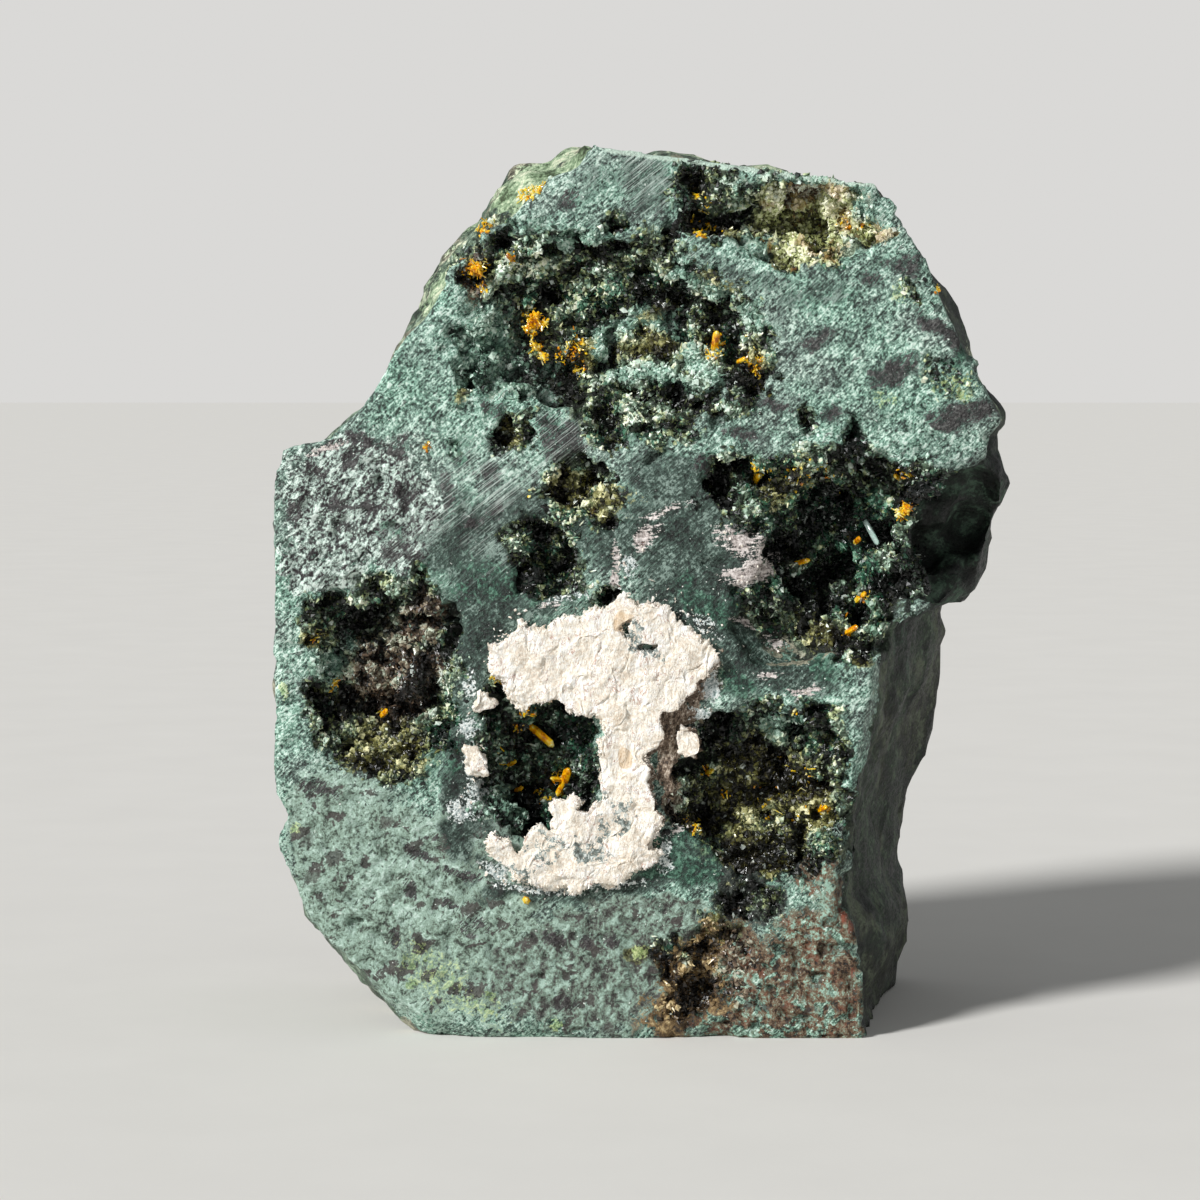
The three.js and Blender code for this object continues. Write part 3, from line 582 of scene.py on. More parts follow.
        (-8.5, 1.7, 2.2, 0.8, -15, 0.45), (13.2, 37.5, 0.9, 0.6, 0.5), (12.4, 32.4, 0.7, 0.4, 0.5),
        (-4.1, 0.8, 0.3, 0.25, 0.9), (0.3, 4.4, 0.4, 0.3, 0.7), (15.8, 32.8, 0.9, 0.6, 0.5),
    ],
    green=[
        (3.5, 21.9, 1.7, 0.6, -42, 0.9), (4.7, 22.1, 0.6, 0.8, 0.7), (6.9, 22.6, 0.9, 0.45),
        (5.3, 17.9, 0.5, 0.6, 0.9), (4.4, 18.3, 0.6, 0.8, 0.7), (2.4, 9.2, 1.3, 1.0),
        (3.4, 8.7, 0.9, 0.9, 0.9), (0.9, 8.5, 0.9, 0.4, 15, 0.9), (-1.2, 30.4, 0.9, 0.6),
        (0.3, 30.4, 0.5, 0.5, 0.8), (-2.3, 27.3, 0.3, 0.4), (-5.4, 37.2, 0.25, 0.35),
        (-1.9, 37.4, 1.2, 0.5, 0.8), (0.9, 38.2, 0.5, 0.4, 0.9), (-7.2, 35.2, 0.8, 0.4, 0.8),
        (4.5, 35.3, 0.4, 0.5), (9.4, 38.9, 0.7, 0.3, 0.8), (7.4, 39.0, 0.6, 0.3, -30, 0.7),
        (-8.8, 29.6, 0.8, 0.6, 0.7), (-12.1, 25.7, 0.7, 0.5, 0.7), (-9.9, 14.6, 1.1, 1.2, 0.8),
        (-9.3, 16.4, 0.5, 0.7, 0.7), (8.6, 16.3, 1.0, 0.7, 0.7), (9.4, 14.7, 0.5, 0.4, 0.9),
        (9.4, 18.9, 0.9, 0.5, 0.8), (12.0, 26.3, 0.5, 1.0, 0.8), (11.5, 23.6, 0.6, 0.7, 0.7),
        (15.8, 34.4, 0.6, 0.7, 0.9), (-4.6, 25.2, 0.9, 0.8, 0.7), (-6.8, 23.2, 2.2, 1.1, 0.5),
        (-5.4, 11.2, 1.6, 0.8, 0.8), (-2.9, 15.4, 0.8, 1.2, 0.8), (-8.7, 23.0, 1.0, 0.8, 0.5),
        (8.4, 26.4, 2.2, 1.2, 0.6), (10.4, 25.0, 1.4, 0.9, 0.5), (6.6, 28.9, 1.0, 0.5, 20, 0.7),
    ],
    chalk=[
        (0.5, 25.5, 0.8, 0.45, 45, 1), (-1.1, 24.3, 0.16, 0.8, 0.9), (-1.2, 23.2, 0.2, 0.5, 0.9),
        (5.2, 25.3, 1.1, 0.6, -15, 1), (5.7, 23.6, 1.4, 0.6, 5, 1), (6.0, 24.5, 0.9, 0.3, 5, 0.6),
        (6.9, 19.9, 0.5, 0.35, -15, 1), (6.6, 18.4, 0.6, 0.12, -5, 0.9), (8.3, 17.7, 0.9, 0.22, 10, 0.9),
        (-4.4, 22.0, 0.6, 0.14, 0.7), (2.0, 10.6, 0.4, 0.3, 0.6), (5.6, 20.9, 0.9, 0.12, -25, 0.7),
        (-15.6, 29.8, 0.9, 0.2, 15, 0.8), (1.5, 26.8, 1.4, 0.2, 20, 0.5),
    ],
    # bluish white haze round the crust
    frost=[
        (-8.7, 11.6, 0.9, 0.5), (-7.8, 12.7, 0.6, 0.7), (-8.4, 14.0, 0.3, 1.4, 5, 0.7),
        (-8.4, 15.9, 0.4, 0.5), (-8.4, 18.0, 0.25, 0.6, 0.9), (-7.0, 8.4, 0.9, 0.5, -25, 0.9),
        (3.6, 18.1, 0.5, 0.9, 30, 1), (3.2, 16.2, 0.6, 0.6), (3.7, 14.9, 0.3, 0.6, 0.8),
        (-3.4, 22.4, 1.0, 0.3, 10, 0.7), (3.4, 20.9, 1.0, 0.3, -42, 0.6), (-5.0, 7.6, 2.0, 0.25, -4, 0.7),
        (-0.8, 7.9, 1.6, 0.2, 8, 0.6), (-0.6, 23.8, 0.4, 0.6, 0.8), (1.4, 9.4, 0.3, 0.8, -20, 0.8),
    ],
    scratch=[
        (-7.2, 28.6, 5.0, 2.2, 38, 1), (-3.9, 30.4, 1.7, 1.4, 38, 1), (0.6, 42.9, 1.6, 2.0),
        (-10.6, 26.0, 3.0, 1.5, 30, 0.7), (2.7, 39.6, 0.4, 0.6), (-7.2, 24.8, 1.8, 1.4, 30, 0.7),
        (10.0, 35.6, 6.0, 5.0, 0.35), (3.0, 24.0, 3.0, 3.0, 0.3), (-2.6, 43.0, 1.6, 1.0, 0.5),
    ],
    # where the light hardly reaches
    shade=[
        (11.0, 25.2, 0.5, 2.4, 0.5), (15.6, 25.6, 2.6, 4.4, 0.9), (4.4, 28.6, 1.2, 0.7, 20, 0.6),
        (-5.4, 13.6, 3.6, 4.4, 0.9), (-12.6, 20.6, 2.0, 1.8, 0.4), (5.2, 14.6, 3.4, 1.6, 0.5),
        (7.6, 21.6, 2.4, 1.2, 0.5), (4.4, 41.2, 1.8, 0.8, 8, 0.6), (12.8, 23.8, 1.4, 1.8, 0.6),
        (5.6, 27.6, 1.2, 1.0, 0.5), (9.4, 24.8, 4.2, 4.0, 0.55),
    ],
)

# how far the sawn surface is pitted there
pitting = dict(rust=1.0, pale=0.7, threads=0.8, specks=0.6, strokes=0.5, soot=1.0, lime=0.6)

# the recess under the overhang on the right, darkened with painted shade
recess = dict(left=13.6, top=29.7, bottom=18.8, depth=11)

topEdge = dict(
    height=44.56,  # where u = 0
    fall=0.128,  # mm down for each mm to the right
    kept=0.9,  # mm below it that stay straight
    bright=0.45,  # mm below it that get the painted highlight
    start=(-2.2, -1.2),  # u where the painted highlight fades in
    end=12.6,  # and where it ends
)

# pale green and cream bits of the back and top that show over the edges
creamyBack = [
    (5.0, 44.2, 8.0, 1.3, -8, 0.9), (-5.2, 43.4, 3.4, 3.0, 30, 1), (-9.6, 39.2, 1.6, 2.4, 40, 0.7),
    (13.6, 40.0, 2.0, 1.6, -40, 0.9), (18.0, 33.0, 1.2, 3.0, 0.7), (-11.0, 34.6, 1.5, 2.0, 30, 0.5),
]


def pickFaces(piece, wanted):
    onlySelect(piece)
    bpy.ops.object.mode_set(mode="EDIT")
    bpy.ops.mesh.select_mode(type="FACE")
    bpy.ops.mesh.select_all(action="DESELECT")
    bpy.ops.object.mode_set(mode="OBJECT")
    piece.data.polygons.foreach_set("select", wanted)


def onSawnSide(piece):
    mesh = piece.data
    centres = np.empty(len(mesh.polygons) * 3)
    normals = np.empty(len(mesh.polygons) * 3)
    mesh.polygons.foreach_get("center", centres)
    mesh.polygons.foreach_get("normal", normals)
    depth = (centres.reshape(-1, 3)[:, 1] - faceOrigin.y) / mm
    turned = normals.reshape(-1, 3)[:, 1] < rock["sawnTurn"]
    return (depth < rock["sawnReach"]) & turned | (depth < rock["sawnSkin"])


# The sides and back are thinned out and the sawn face is made finer.
def shareOutFacets(piece):
    thinned = piece.vertex_groups.new(name="thinned")
    sawn = onSawnSide(piece)
    keep = set()
    for face in piece.data.polygons:
        if sawn[face.index]:
            keep.update(face.vertices)
    thinned.add([v.index for v in piece.data.vertices if v.index not in keep], 1, "REPLACE")
    even = piece.modifiers.new("even", "SMOOTH")
    even.factor = 0.5
    even.iterations = rock["evened"]
    even.vertex_group = thinned.name
    thin = piece.modifiers.new("thin", "DECIMATE")
    thin.ratio = rock["sideShare"] + (1 - rock["sideShare"]) * len(keep) / len(piece.data.vertices)
    thin.vertex_group = thinned.name
    applyModifiers(piece)
    pickFaces(piece, onSawnSide(piece))
    bpy.ops.object.mode_set(mode="EDIT")
    bpy.ops.mesh.subdivide(number_cuts=1)
    bpy.ops.object.mode_set(mode="OBJECT")


def nearFace(shape, reach):
    return np.clip((reach - shape.depth) / 2, 0, 1)


def aroundHollows(shape):
    return smoothStep(np.max([spotsOn(shape, spots, 1.4) for spots in druse.values()], axis=0), 0, 0.4)


# The upper edge was sawn straight and falls gently to the right.
def belowTopEdge(shape, reach):
    return smoothStep(topEdge["height"] - topEdge["fall"] * shape.u - shape.w, 0.1, reach)


# Straight rims of the hollows wander to and fro.
def driftRims(piece, shape):
    reach = aroundHollows(shape) * nearFace(shape, rock["rimReach"]) * smoothStep(shape.w, 0.4, 1.4)
    reach *= belowTopEdge(shape, topEdge["kept"])
    along = sum(noiseAt(shape, size, 51 + size) * far for size, far in rock["drift"])
    upward = sum(noiseAt(shape, size, 57 + size) * far for size, far in rock["drift"])
    moved = shape.places + np.stack((along, 0 * along, upward), axis=1) * reach[:, None] * mm
    piece.data.vertices.foreach_set("co", moved.ravel())
    piece.data.update()


def roughShape(piece, shape, granular, side, weathered):
    lumps = sum(lumpsAt(shape, size, 17 + size) * height for size, height in rock["lumps"])
    pits = 0
    for size, shift, rim, floor, depth in rock["pits"]:
        pits = pits + smoothStep(noiseAt(shape, size, shift), rim, floor) * depth
    holes = spotsOn(shape, pockets, 0.6)
    relief = granular * (np.minimum(lumps, 0.25) - pits) * belowTopEdge(shape, topEdge["kept"])
    size, height = rock["weave"]
    sawn = np.clip(1 - granular - side, 0, 1)
    relief += sawn * (noiseAt(shape, size, 29) * height - smoothStep(shape.swayU, 0.55, 0.8) * 0.2)
    (size, height), (pitSize, pitDepth) = rock["pitted"]
    nicks = smoothStep(noiseAt(shape, pitSize, 33), 0.08, 0.4) * weathered * sawn
    relief += weathered * sawn * lumpsAt(shape, size, 37) * height - nicks * pitDepth
    sideways = sum(noiseAt(shape, size, 41 + size) * height for size, height in rock["sides"])
    relief += side * (sideways - 0.12) * smoothStep(shape.w, 0.1, 0.8)
    relief -= holes
    pushOut(piece, shape, np.where(shape.w < 0.05, 0, relief))
    # painted light and shade: the crests of the lumps are lighter, the pits darker
    paint(piece, "crest", smoothStep(lumps - 0.6 * pits, -0.4, 0.4))
    # painted shade: how dark the pits, pockets and nicks are painted
    return np.clip(granular * (pits - lumps) * 1.1 + holes * 1.4 + nicks * 0.6, 0, 1)


def recessOn(shape):
    across = smoothStep(shape.u + 0.5 * shape.swayU, recess["left"] - 0.4, recess["left"] + 0.4)
    below = smoothStep(recess["top"] - shape.w + 0.5 * shape.swayW, -0.1, 0.4)
    above = smoothStep(shape.w - recess["bottom"] + 1.5 * shape.swayW, -1.5, 2.5)
    behind = smoothStep(recess["depth"] - shape.depth + 2 * shape.swayU, 0, 5)
    return across * below * above * behind * smoothStep(shape.depth, 0.1, 0.4)


def makeRock():
    piece = copyNode("malachite_matrix", "malachiteRock")
    voxelRemesh(piece, rock["voxel"])
    shareOutFacets(piece)
    shape = readShape(piece)
    addSway(shape)
    driftRims(piece, shape)
    shape = readShape(piece)
    addSway(shape)
    near = nearFace(shape, rock["paintReach"])
    facing = smoothStep(-shape.normals[:, 1], *rock["facing"])
    parts = {name: spotsOn(shape, spots) * near for name, spots in druse.items()}
    granular = smoothStep(np.max(list(parts.values()), axis=0), *rock["granular"])
    hollow = smoothStep(shape.depth, *rock["hollow"]) * near * aroundHollows(shape)
    granular = np.maximum(granular, 0.8 * hollow * facing)
    front = facing * smoothStep(shape.depth, *rock["front"])
    side = (1 - front) * np.clip((shape.depth - 0.2) / 0.6, 0, 1) * (1 - granular)
    weathered = np.max([spotsOn(shape, tints[name]) * share for name, share in pitting.items()], axis=0)
    cavity = roughShape(piece, shape, granular, side, weathered)
    standing = smoothStep(shape.w, 0.3, 0.6)
    ridged = 1 - 0.7 * spotsOn(shape, tints["pale"])
    for name, values in parts.items():
        paint(piece, name + "Grains", smoothStep(values, *rock["grains"]) * standing * ridged)
    for name, spots in tints.items():
        paint(piece, name, spotsOn(shape, spots) * near * (1 - side))
    # the bands wander as they go back
    reach, size, depth = rock["cream"]
    wander = reach * noiseAt(shape, size, 45) * np.clip(shape.depth / depth, 0, 1)
    bands = SimpleNamespace(u=shape.u, w=shape.w + wander, swayU=2 * shape.swayU, swayW=2 * shape.swayW)
    paint(piece, "creamy", spotsOn(bands, creamyBack) * side)
    paint(piece, "recess", recessOn(shape))
    # painted highlight: a strip just under the sawn top edge
    span = smoothStep(shape.u, *topEdge["start"]) * smoothStep(topEdge["end"] - shape.u, 0, 1)
    paint(piece, "edge", span * (1 - belowTopEdge(shape, topEdge["bright"])) * (shape.depth < 1.5))
    # painted shade: facets that face right, away from the key light, are darker
    paint(piece, "rightSide", smoothStep(shape.normals[:, 0], 0.2, 0.7) * side)
    paint(piece, "granular", granular)
    paint(piece, "side", side)
    paint(piece, "cavity", cavity)
    smoothEdges(piece, rock["smooth"])
    return piece


# The noises that the parts of the rock's finish share, kept with the finish.
def addNoises(f):
    f.speckle = f.grain(0.15, 3, 0.75)
    f.mottle = f.grain(0.36, 3, 0.65, 0.5)
    f.patch = f.grain(1.4, 3, 0.55, 0.4)
    f.broad = f.grain(4.5, 3, 0.5, 0.4)
    f.hairs = f.grain(1, 3, 0.65, 0.4, f.turned((0, -44, 0), (0.5, 0.4, 0.09)))
    f.saw = f.grain(1, 2, 0.5, 0, f.turned((0, -38, 0), (3.2, 1.0, 0.066)))
    f.flakes = f.cells(0.26, f.turned((0, -40, 0), (1.3, 1.0, 0.75)))[1]
    f.ragged = f.mixed((f.speckle, 0.9), (f.mottle, 1.0), (f.patch, 0.5))
    f.blurred = f.mixed((f.mottle, 1.0), (f.patch, 0.8), (f.speckle, 0.4))
    f.felt = f.total((f.mixed((f.speckle, 1.2), (f.hairs, 0.9), (f.mottle, 0.55), (f.patch, 0.45)), 1.0),
                     (f.flakes, 0.3), (f.mask("pale"), 0.14), start=-0.14)
    # painted light: crystalLight is lighter on the crests and where lit is painted
    f.crystalLight = f.total((f.mixed((f.speckle, 1.0), (f.mottle, 0.8), (f.patch, 0.5)), 0.6),
                             (f.mask("crest"), 0.5), (f.flakes, 0.2), (f.mask("lit"), 0.25), start=-0.16)
    f.aqua = f.tones(f.felt, (24, 42, 34), (72, 104, 90), (116, 156, 137), (162, 204, 184), (222, 242, 230))


# Flaky grey aqua, the ground of the whole face.
def groundTone(f):
    grey = f.tones(f.felt, (34, 42, 38), (80, 96, 89), (120, 143, 132), (164, 188, 175), (222, 240, 228))
    tone = f.blend(f.mixed((f.broad, 1.0), (f.patch, 0.6)), grey, f.aqua)
    tone = f.cover(tone, f.aqua, "pale", f.ragged, share=0.6)
    # paler low on the left, with separate dark specks
    softLight = f.total((f.mixed((f.mottle, 0.9), (f.speckle, 0.9), (f.patch, 0.6)), 0.8), (f.flakes, 0.2))
    soft = f.tones(softLight, (54, 64, 55), (112, 131, 116), (148, 173, 157), (166, 193, 178),
                   (196, 218, 206))
    tone = f.cover(tone, soft, "specks", f.blurred, 0.7)
    offset, pick = f.cells(1.15, f.turned((0, -30, 0), (1.25, 1.0, 0.8)))
    spot = f.step(f.total((offset, 1.0), (f.mottle, 1.1), (f.speckle, 0.3)), 1.1, 1.03)
    spot = f.times(spot, f.step(pick, 0.32, 0.36))
    spotted = f.maths("MAXIMUM", f.mask("specks"), f.times(f.mask("strokes"), 0.8))
    spot = f.times(spot, f.step(spotted, 0.3, 0.6))
    # aqua flecks on purple grey
    splinters = f.grain(0.5, 2, 0.6, 1.2, f.turned((0, -50, 0), (1.6, 1.0, 0.6)))
    fleckLight = f.mixed((f.mottle, 0.6), (f.speckle, 1.2), (splinters, 1.1), (f.patch, 0.2))
    flecks = f.tones(f.total((fleckLight, 1.12), (f.flakes, 0.34), start=-0.2), (30, 25, 27), (76, 72, 73),
                     (136, 152, 143), (180, 204, 191), (232, 246, 237))
    tone = f.cover(tone, flecks, "threads", f.blurred, 0.6)
    worms = f.grain(1, 2, 0.5, 0.6, f.turned((0, -58, 0), (0.75, 0.6, 0.45)))
    strokes = f.tones(f.mixed((worms, 0.9), (f.mottle, 0.8), (f.speckle, 0.8)), (52, 50, 47), (88, 94, 86),
                      (118, 136, 122), (134, 158, 143), (166, 192, 178))
    tone = f.cover(tone, strokes, "strokes", f.blurred, 0.6)
    tone = f.blend(f.times(spot, 0.88), tone, f.tones(f.speckle, (46, 42, 40), (94, 88, 84)))
    # short crevices, darkened with painted shade
    crevice = f.step(f.grain(0.42, 3, 0.7, 0.8, f.turned((0, -35, 0), (1.3, 1.0, 0.8))), 0.4, 0.35)
    crumbled = f.total((f.patch, 1.0), (f.mask("scratch"), -0.15), (f.mask("threads"), 0.1),
                       (f.mask("pale"), 0.14))
    f.crevice = f.times(crevice, f.step(crumbled, 0.44, 0.56))
    return f.blend(f.times(f.crevice, 0.75), tone, (26, 36, 30))


def addDarkPatches(f, tone):
    # slate round the crust
    slate = f.tones(f.mixed((f.speckle, 0.9), (f.hairs, 0.6), (f.patch, 0.7), (f.mottle, 0.5)), (10, 18, 14),
                    (34, 50, 43), (54, 73, 64), (78, 98, 89), (138, 158, 148))
    tone = f.cover(tone, slate, "slate", f.ragged, 0.58, 0.7, 0.2)
    # purple grey patches with combed edges, and a soft sooty one
    combed = f.mixed((f.hairs, 1.0), (f.mottle, 0.8), (f.speckle, 0.5))
    purple = f.tones(f.mixed((f.speckle, 1.0), (f.hairs, 0.7)), (14, 11, 12), (35, 29, 31), (52, 45, 47),
                     (94, 92, 91))
    tone = f.cover(tone, purple, "purple", combed, 0.55, 1.5, 0.06, share=0.95)
    soot = f.tones(f.mixed((f.speckle, 1.0), (f.mottle, 0.8)), (5, 4, 4), (16, 13, 12), (29, 25, 23),
                   (54, 50, 45))
    return f.cover(tone, soot, "soot", f.ragged, 0.62, 0.5, 0.2, share=0.92)


# Granular parts get painted light and shade, lighter crumbly crests and darker gaps, and the rock has colours
# of its own here and there.
def addLocalColours(f, tone):
    # painted shade: the granular parts are darker than the ground
    dark = f.tones(f.crystalLight, (5, 8, 3), (20, 27, 17), (54, 66, 48), (108, 124, 100), (190, 208, 186))
    tone = f.cover(tone, dark, "granular", f.ragged, 0.55)
    crumbly = f.times(f.within("pale", f.ragged), f.mask("granular"))
    tone = f.blend(f.times(crumbly, 0.85), tone, f.aqua)
    brown = f.tones(f.mixed((f.mottle, 1.0), (f.speckle, 0.8), (f.patch, 0.7)), (30, 20, 12), (84, 62, 43),
                    (120, 98, 76), (132, 138, 118), (162, 196, 178))
    brown = f.blend(f.times(f.step(f.grain(0.7, 3, 0.6, 0.6), 0.56, 0.62), 0.5), brown, (124, 68, 46))
    brown = f.blend(f.times(f.step(f.grain(0.8, 3, 0.6, 0.8), 0.55, 0.6), 0.85), brown, f.aqua)
    brown = f.blend(f.times(f.step(f.grain(0.6, 3, 0.6), 0.6, 0.66), 0.7), brown, (58, 56, 54))
    tone = f.cover(tone, brown, "rust", f.ragged, 0.55)
    amber = f.tones(f.crystalLight, (20, 14, 6), (66, 50, 30), (108, 86, 54), (146, 122, 82), (206, 186, 142))
    tone = f.cover(tone, amber, "amber", f.ragged, 0.5)
    # brown fibres, with painted light against the crust's shadow
    fibres = f.grain(1, 3, 0.6, 0.5, f.turned((0, 12, 0), (0.12, 0.3, 0.5)))
    fibrous = f.tones(f.mixed((f.speckle, 1.0), (fibres, 1.0)), (64, 52, 43), (122, 103, 86), (160, 141, 122),
                      (222, 208, 190))
    tone = f.cover(tone, fibrous, "slope", f.ragged, 0.55)
    gold = f.tones(f.crystalLight, (18, 16, 4), (56, 53, 20), (106, 106, 60), (158, 160, 108),
                   (226, 228, 184))
    tone = f.cover(tone, gold, "olive", f.ragged, 0.5, share=0.8)
    straw = f.tones(f.crystalLight, (34, 30, 12), (92, 92, 52), (148, 152, 110), (206, 212, 172),
                    (246, 246, 222))
    straw = f.blend(f.times(f.step(f.patch, 0.5, 0.6), 0.5), straw, (140, 96, 50))
    tone = f.cover(tone, straw, "straw", f.ragged, 0.55)
    fresh = f.tones(f.felt, (44, 66, 22), (124, 156, 84), (206, 218, 154))
    tone = f.cover(tone, fresh, "lime", f.ragged, 0.45, 0.95, share=0.65)
    deep = f.tones(f.mixed((f.mottle, 1.0), (f.speckle, 0.7)), (4, 22, 14), (16, 50, 37), (42, 90, 70),
                   (96, 144, 120))
    tone = f.cover(tone, deep, "green", f.ragged, 0.5, 0.7, 0.2, share=0.7)
    return f.cover(tone, (128, 58, 36), "ember", f.ragged, 0.5, share=0.8)


def addBrokenSides(f, tone):
    broken = f.total((f.mixed((f.mottle, 0.8), (f.patch, 1.0), (f.speckle, 0.7)), 0.9), (f.flakes, 0.2),
                     start=-0.05)
    mossy = f.tones(broken, (30, 40, 31), (66, 84, 67), (100, 120, 101), (160, 180, 158))
    dusty = f.tones(broken, (40, 38, 31), (86, 84, 70), (126, 124, 106), (178, 176, 154))
    sides = f.blend(f.step(f.mixed((f.broad, 1.0), (f.patch, 0.5)), 0.45, 0.8), mossy, dusty)
    # painted shade on the sides that face right
    paintedRightShade = f.tones(broken, (8, 12, 8), (20, 28, 19), (36, 47, 34), (74, 90, 70))
    sides = f.cover(sides, paintedRightShade, "rightSide", f.blurred, 0.6, share=0.85)
    cream = f.tones(broken, (62, 76, 48), (122, 146, 112), (172, 194, 158), (226, 230, 200))
    sides = f.cover(sides, cream, "creamy", f.ragged, 0.6, 0.6, 0.16)
    tone = f.cover(tone, sides, "side", f.blurred, 0.6)
    # painted shade in the recess under the overhang
    paintedRecessShade = f.tones(f.mixed((f.patch, 1.0), (f.mottle, 0.5), (f.speckle, 0.4)), (7, 12, 8), (18, 27, 20),
                     (31, 45, 35), (70, 92, 76))
    return f.cover(tone, paintedRecessShade, "recess", f.blurred, 0.6, 0.5, 0.2)


def addShadeAndFilms(f, tone):
    # painted shade: pockets, pits and shaded hollows are darkened, less where lit, straw or slope is painted
    unlit = f.total((f.mask("cavity"), 0.78), (f.mask("straw"), -0.5), (f.mask("slope"), -0.7),
                    (f.mask("lit"), -0.5))
    tone = f.blend(unlit, tone, (6, 8, 4))
    tone = f.blend(f.times(f.mask("shade"), 0.5), tone, (7, 12, 9))
    # chalky films, combed sideways
    level = f.grain(1, 3, 0.6, 0.4, f.turned((0, -4, 0), (0.9, 0.3, 0.12)))
    combed = f.mixed((level, 1.0), (f.speckle, 1.0), (f.mottle, 0.5))
    chalk = f.tones(f.mixed((f.speckle, 1.0), (level, 0.8)), (104, 92, 88), (176, 165, 160), (204, 195, 190),
                    (238, 230, 225))
    tone = f.cover(tone, chalk, "chalk", combed, 0.52, 1.0, 0.07)
    lacy = f.mixed((f.grain(0.45, 3, 0.7, 1.5), 1.0), (f.speckle, 0.8))
    frost = f.tones(f.mixed((f.speckle, 1.0)), (112, 130, 128), (196, 208, 206), (248, 250, 246))
    tone = f.cover(tone, frost, "frost", lacy, 0.42, 1.3, 0.12)
    # saw marks
    groove = f.times(f.step(f.saw, 0.5, 0.68), f.step(f.mask("scratch"), 0.3, 1.0))
    tone = f.blend(f.times(groove, 0.6), tone, (212, 226, 217))
    # painted highlight: the sawn upper edge is painted pale, as if it caught the light
    tone = f.cover(tone, (206, 226, 210), "edge", f.ragged, 0.5, 0.4, 0.2, share=0.7)
    # painted glints: single bright sparkles
    sparkle = f.times(f.step(f.grain(0.16, 1), 0.74, 0.78), f.step(f.mask("side"), 0.7, 0.3))
    return f.blend(sparkle, tone, (226, 234, 226))


def rockMaterial():
    f = Finish("malachiteRockFinish")
    addNoises(f)
    tone = groundTone(f)
    for add in (addDarkPatches, addLocalColours, addBrokenSides, addShadeAndFilms):
        tone = add(f, tone)
    height = f.total((f.speckle, 0.7), (f.hairs, 0.3), (f.mottle, 0.6), (f.flakes, 0.12), (f.crevice, -0.5))
    normal = f.bump(height, 1.0, 0.14)
    normal = f.bump(f.times(f.saw, f.mask("scratch")), 0.8, 0.07, normal)
    rough = f.step(f.felt, 0.1, 0.9, 0.4, 0.7)
    f.dress({"Base Color": tone, "Roughness": rough, "Specular IOR Level": 0.4, "Normal": normal})
    return f.material


rockPiece = makeRock()
finishPiece(rockPiece, rockMaterial(), ["malachite_matrix"])
print("rock made:", sum(len(face.vertices) - 2 for face in rockPiece.data.polygons), "triangles")

# ---- fine crystals and crumbs: each shape is modelled once, scattered on the rock and made real


# A cone whose top (side 1) or bottom (side -1) is drawn out to a tip.
def tippedCone(name, sides, low, high, tall, tip, side, lift):
    bpy.ops.mesh.primitive_cone_add(vertices=sides, radius1=low * mm, radius2=high * mm, depth=tall * mm,
                                    location=(0, 0, lift * mm))
    shape = bpy.context.active_object
    shape.name = name
    pickFaces(shape, [face.normal.z * side > 0.9 for face in shape.data.polygons])
    bpy.ops.object.mode_set(mode="EDIT")
    bpy.ops.mesh.poke(offset=tip * mm)
    bpy.ops.object.mode_set(mode="OBJECT")
    bpy.ops.object.transform_apply(location=True, rotation=True, scale=True)
    return shape


def prismShape(name, sides, low, high, tall, tip):
    return tippedCone(name, sides, low, high, tall, tip, 1, tall * 0.3)


# A shard with five facets above and five below.
def crumbShape(name, size, seed, stretch=(1, 1, 1)):
    shape = tippedCone(name, 5, size, 0, size, size, -1, size / 2)
    bpy.ops.object.mode_set(mode="EDIT")
    bpy.ops.mesh.select_all(action="SELECT")
    bpy.ops.transform.vertex_random(offset=size * 0.4 * mm, uniform=0.4, seed=seed)
    bpy.ops.transform.resize(value=stretch)
    bpy.ops.object.mode_set(mode="OBJECT")
    return shape


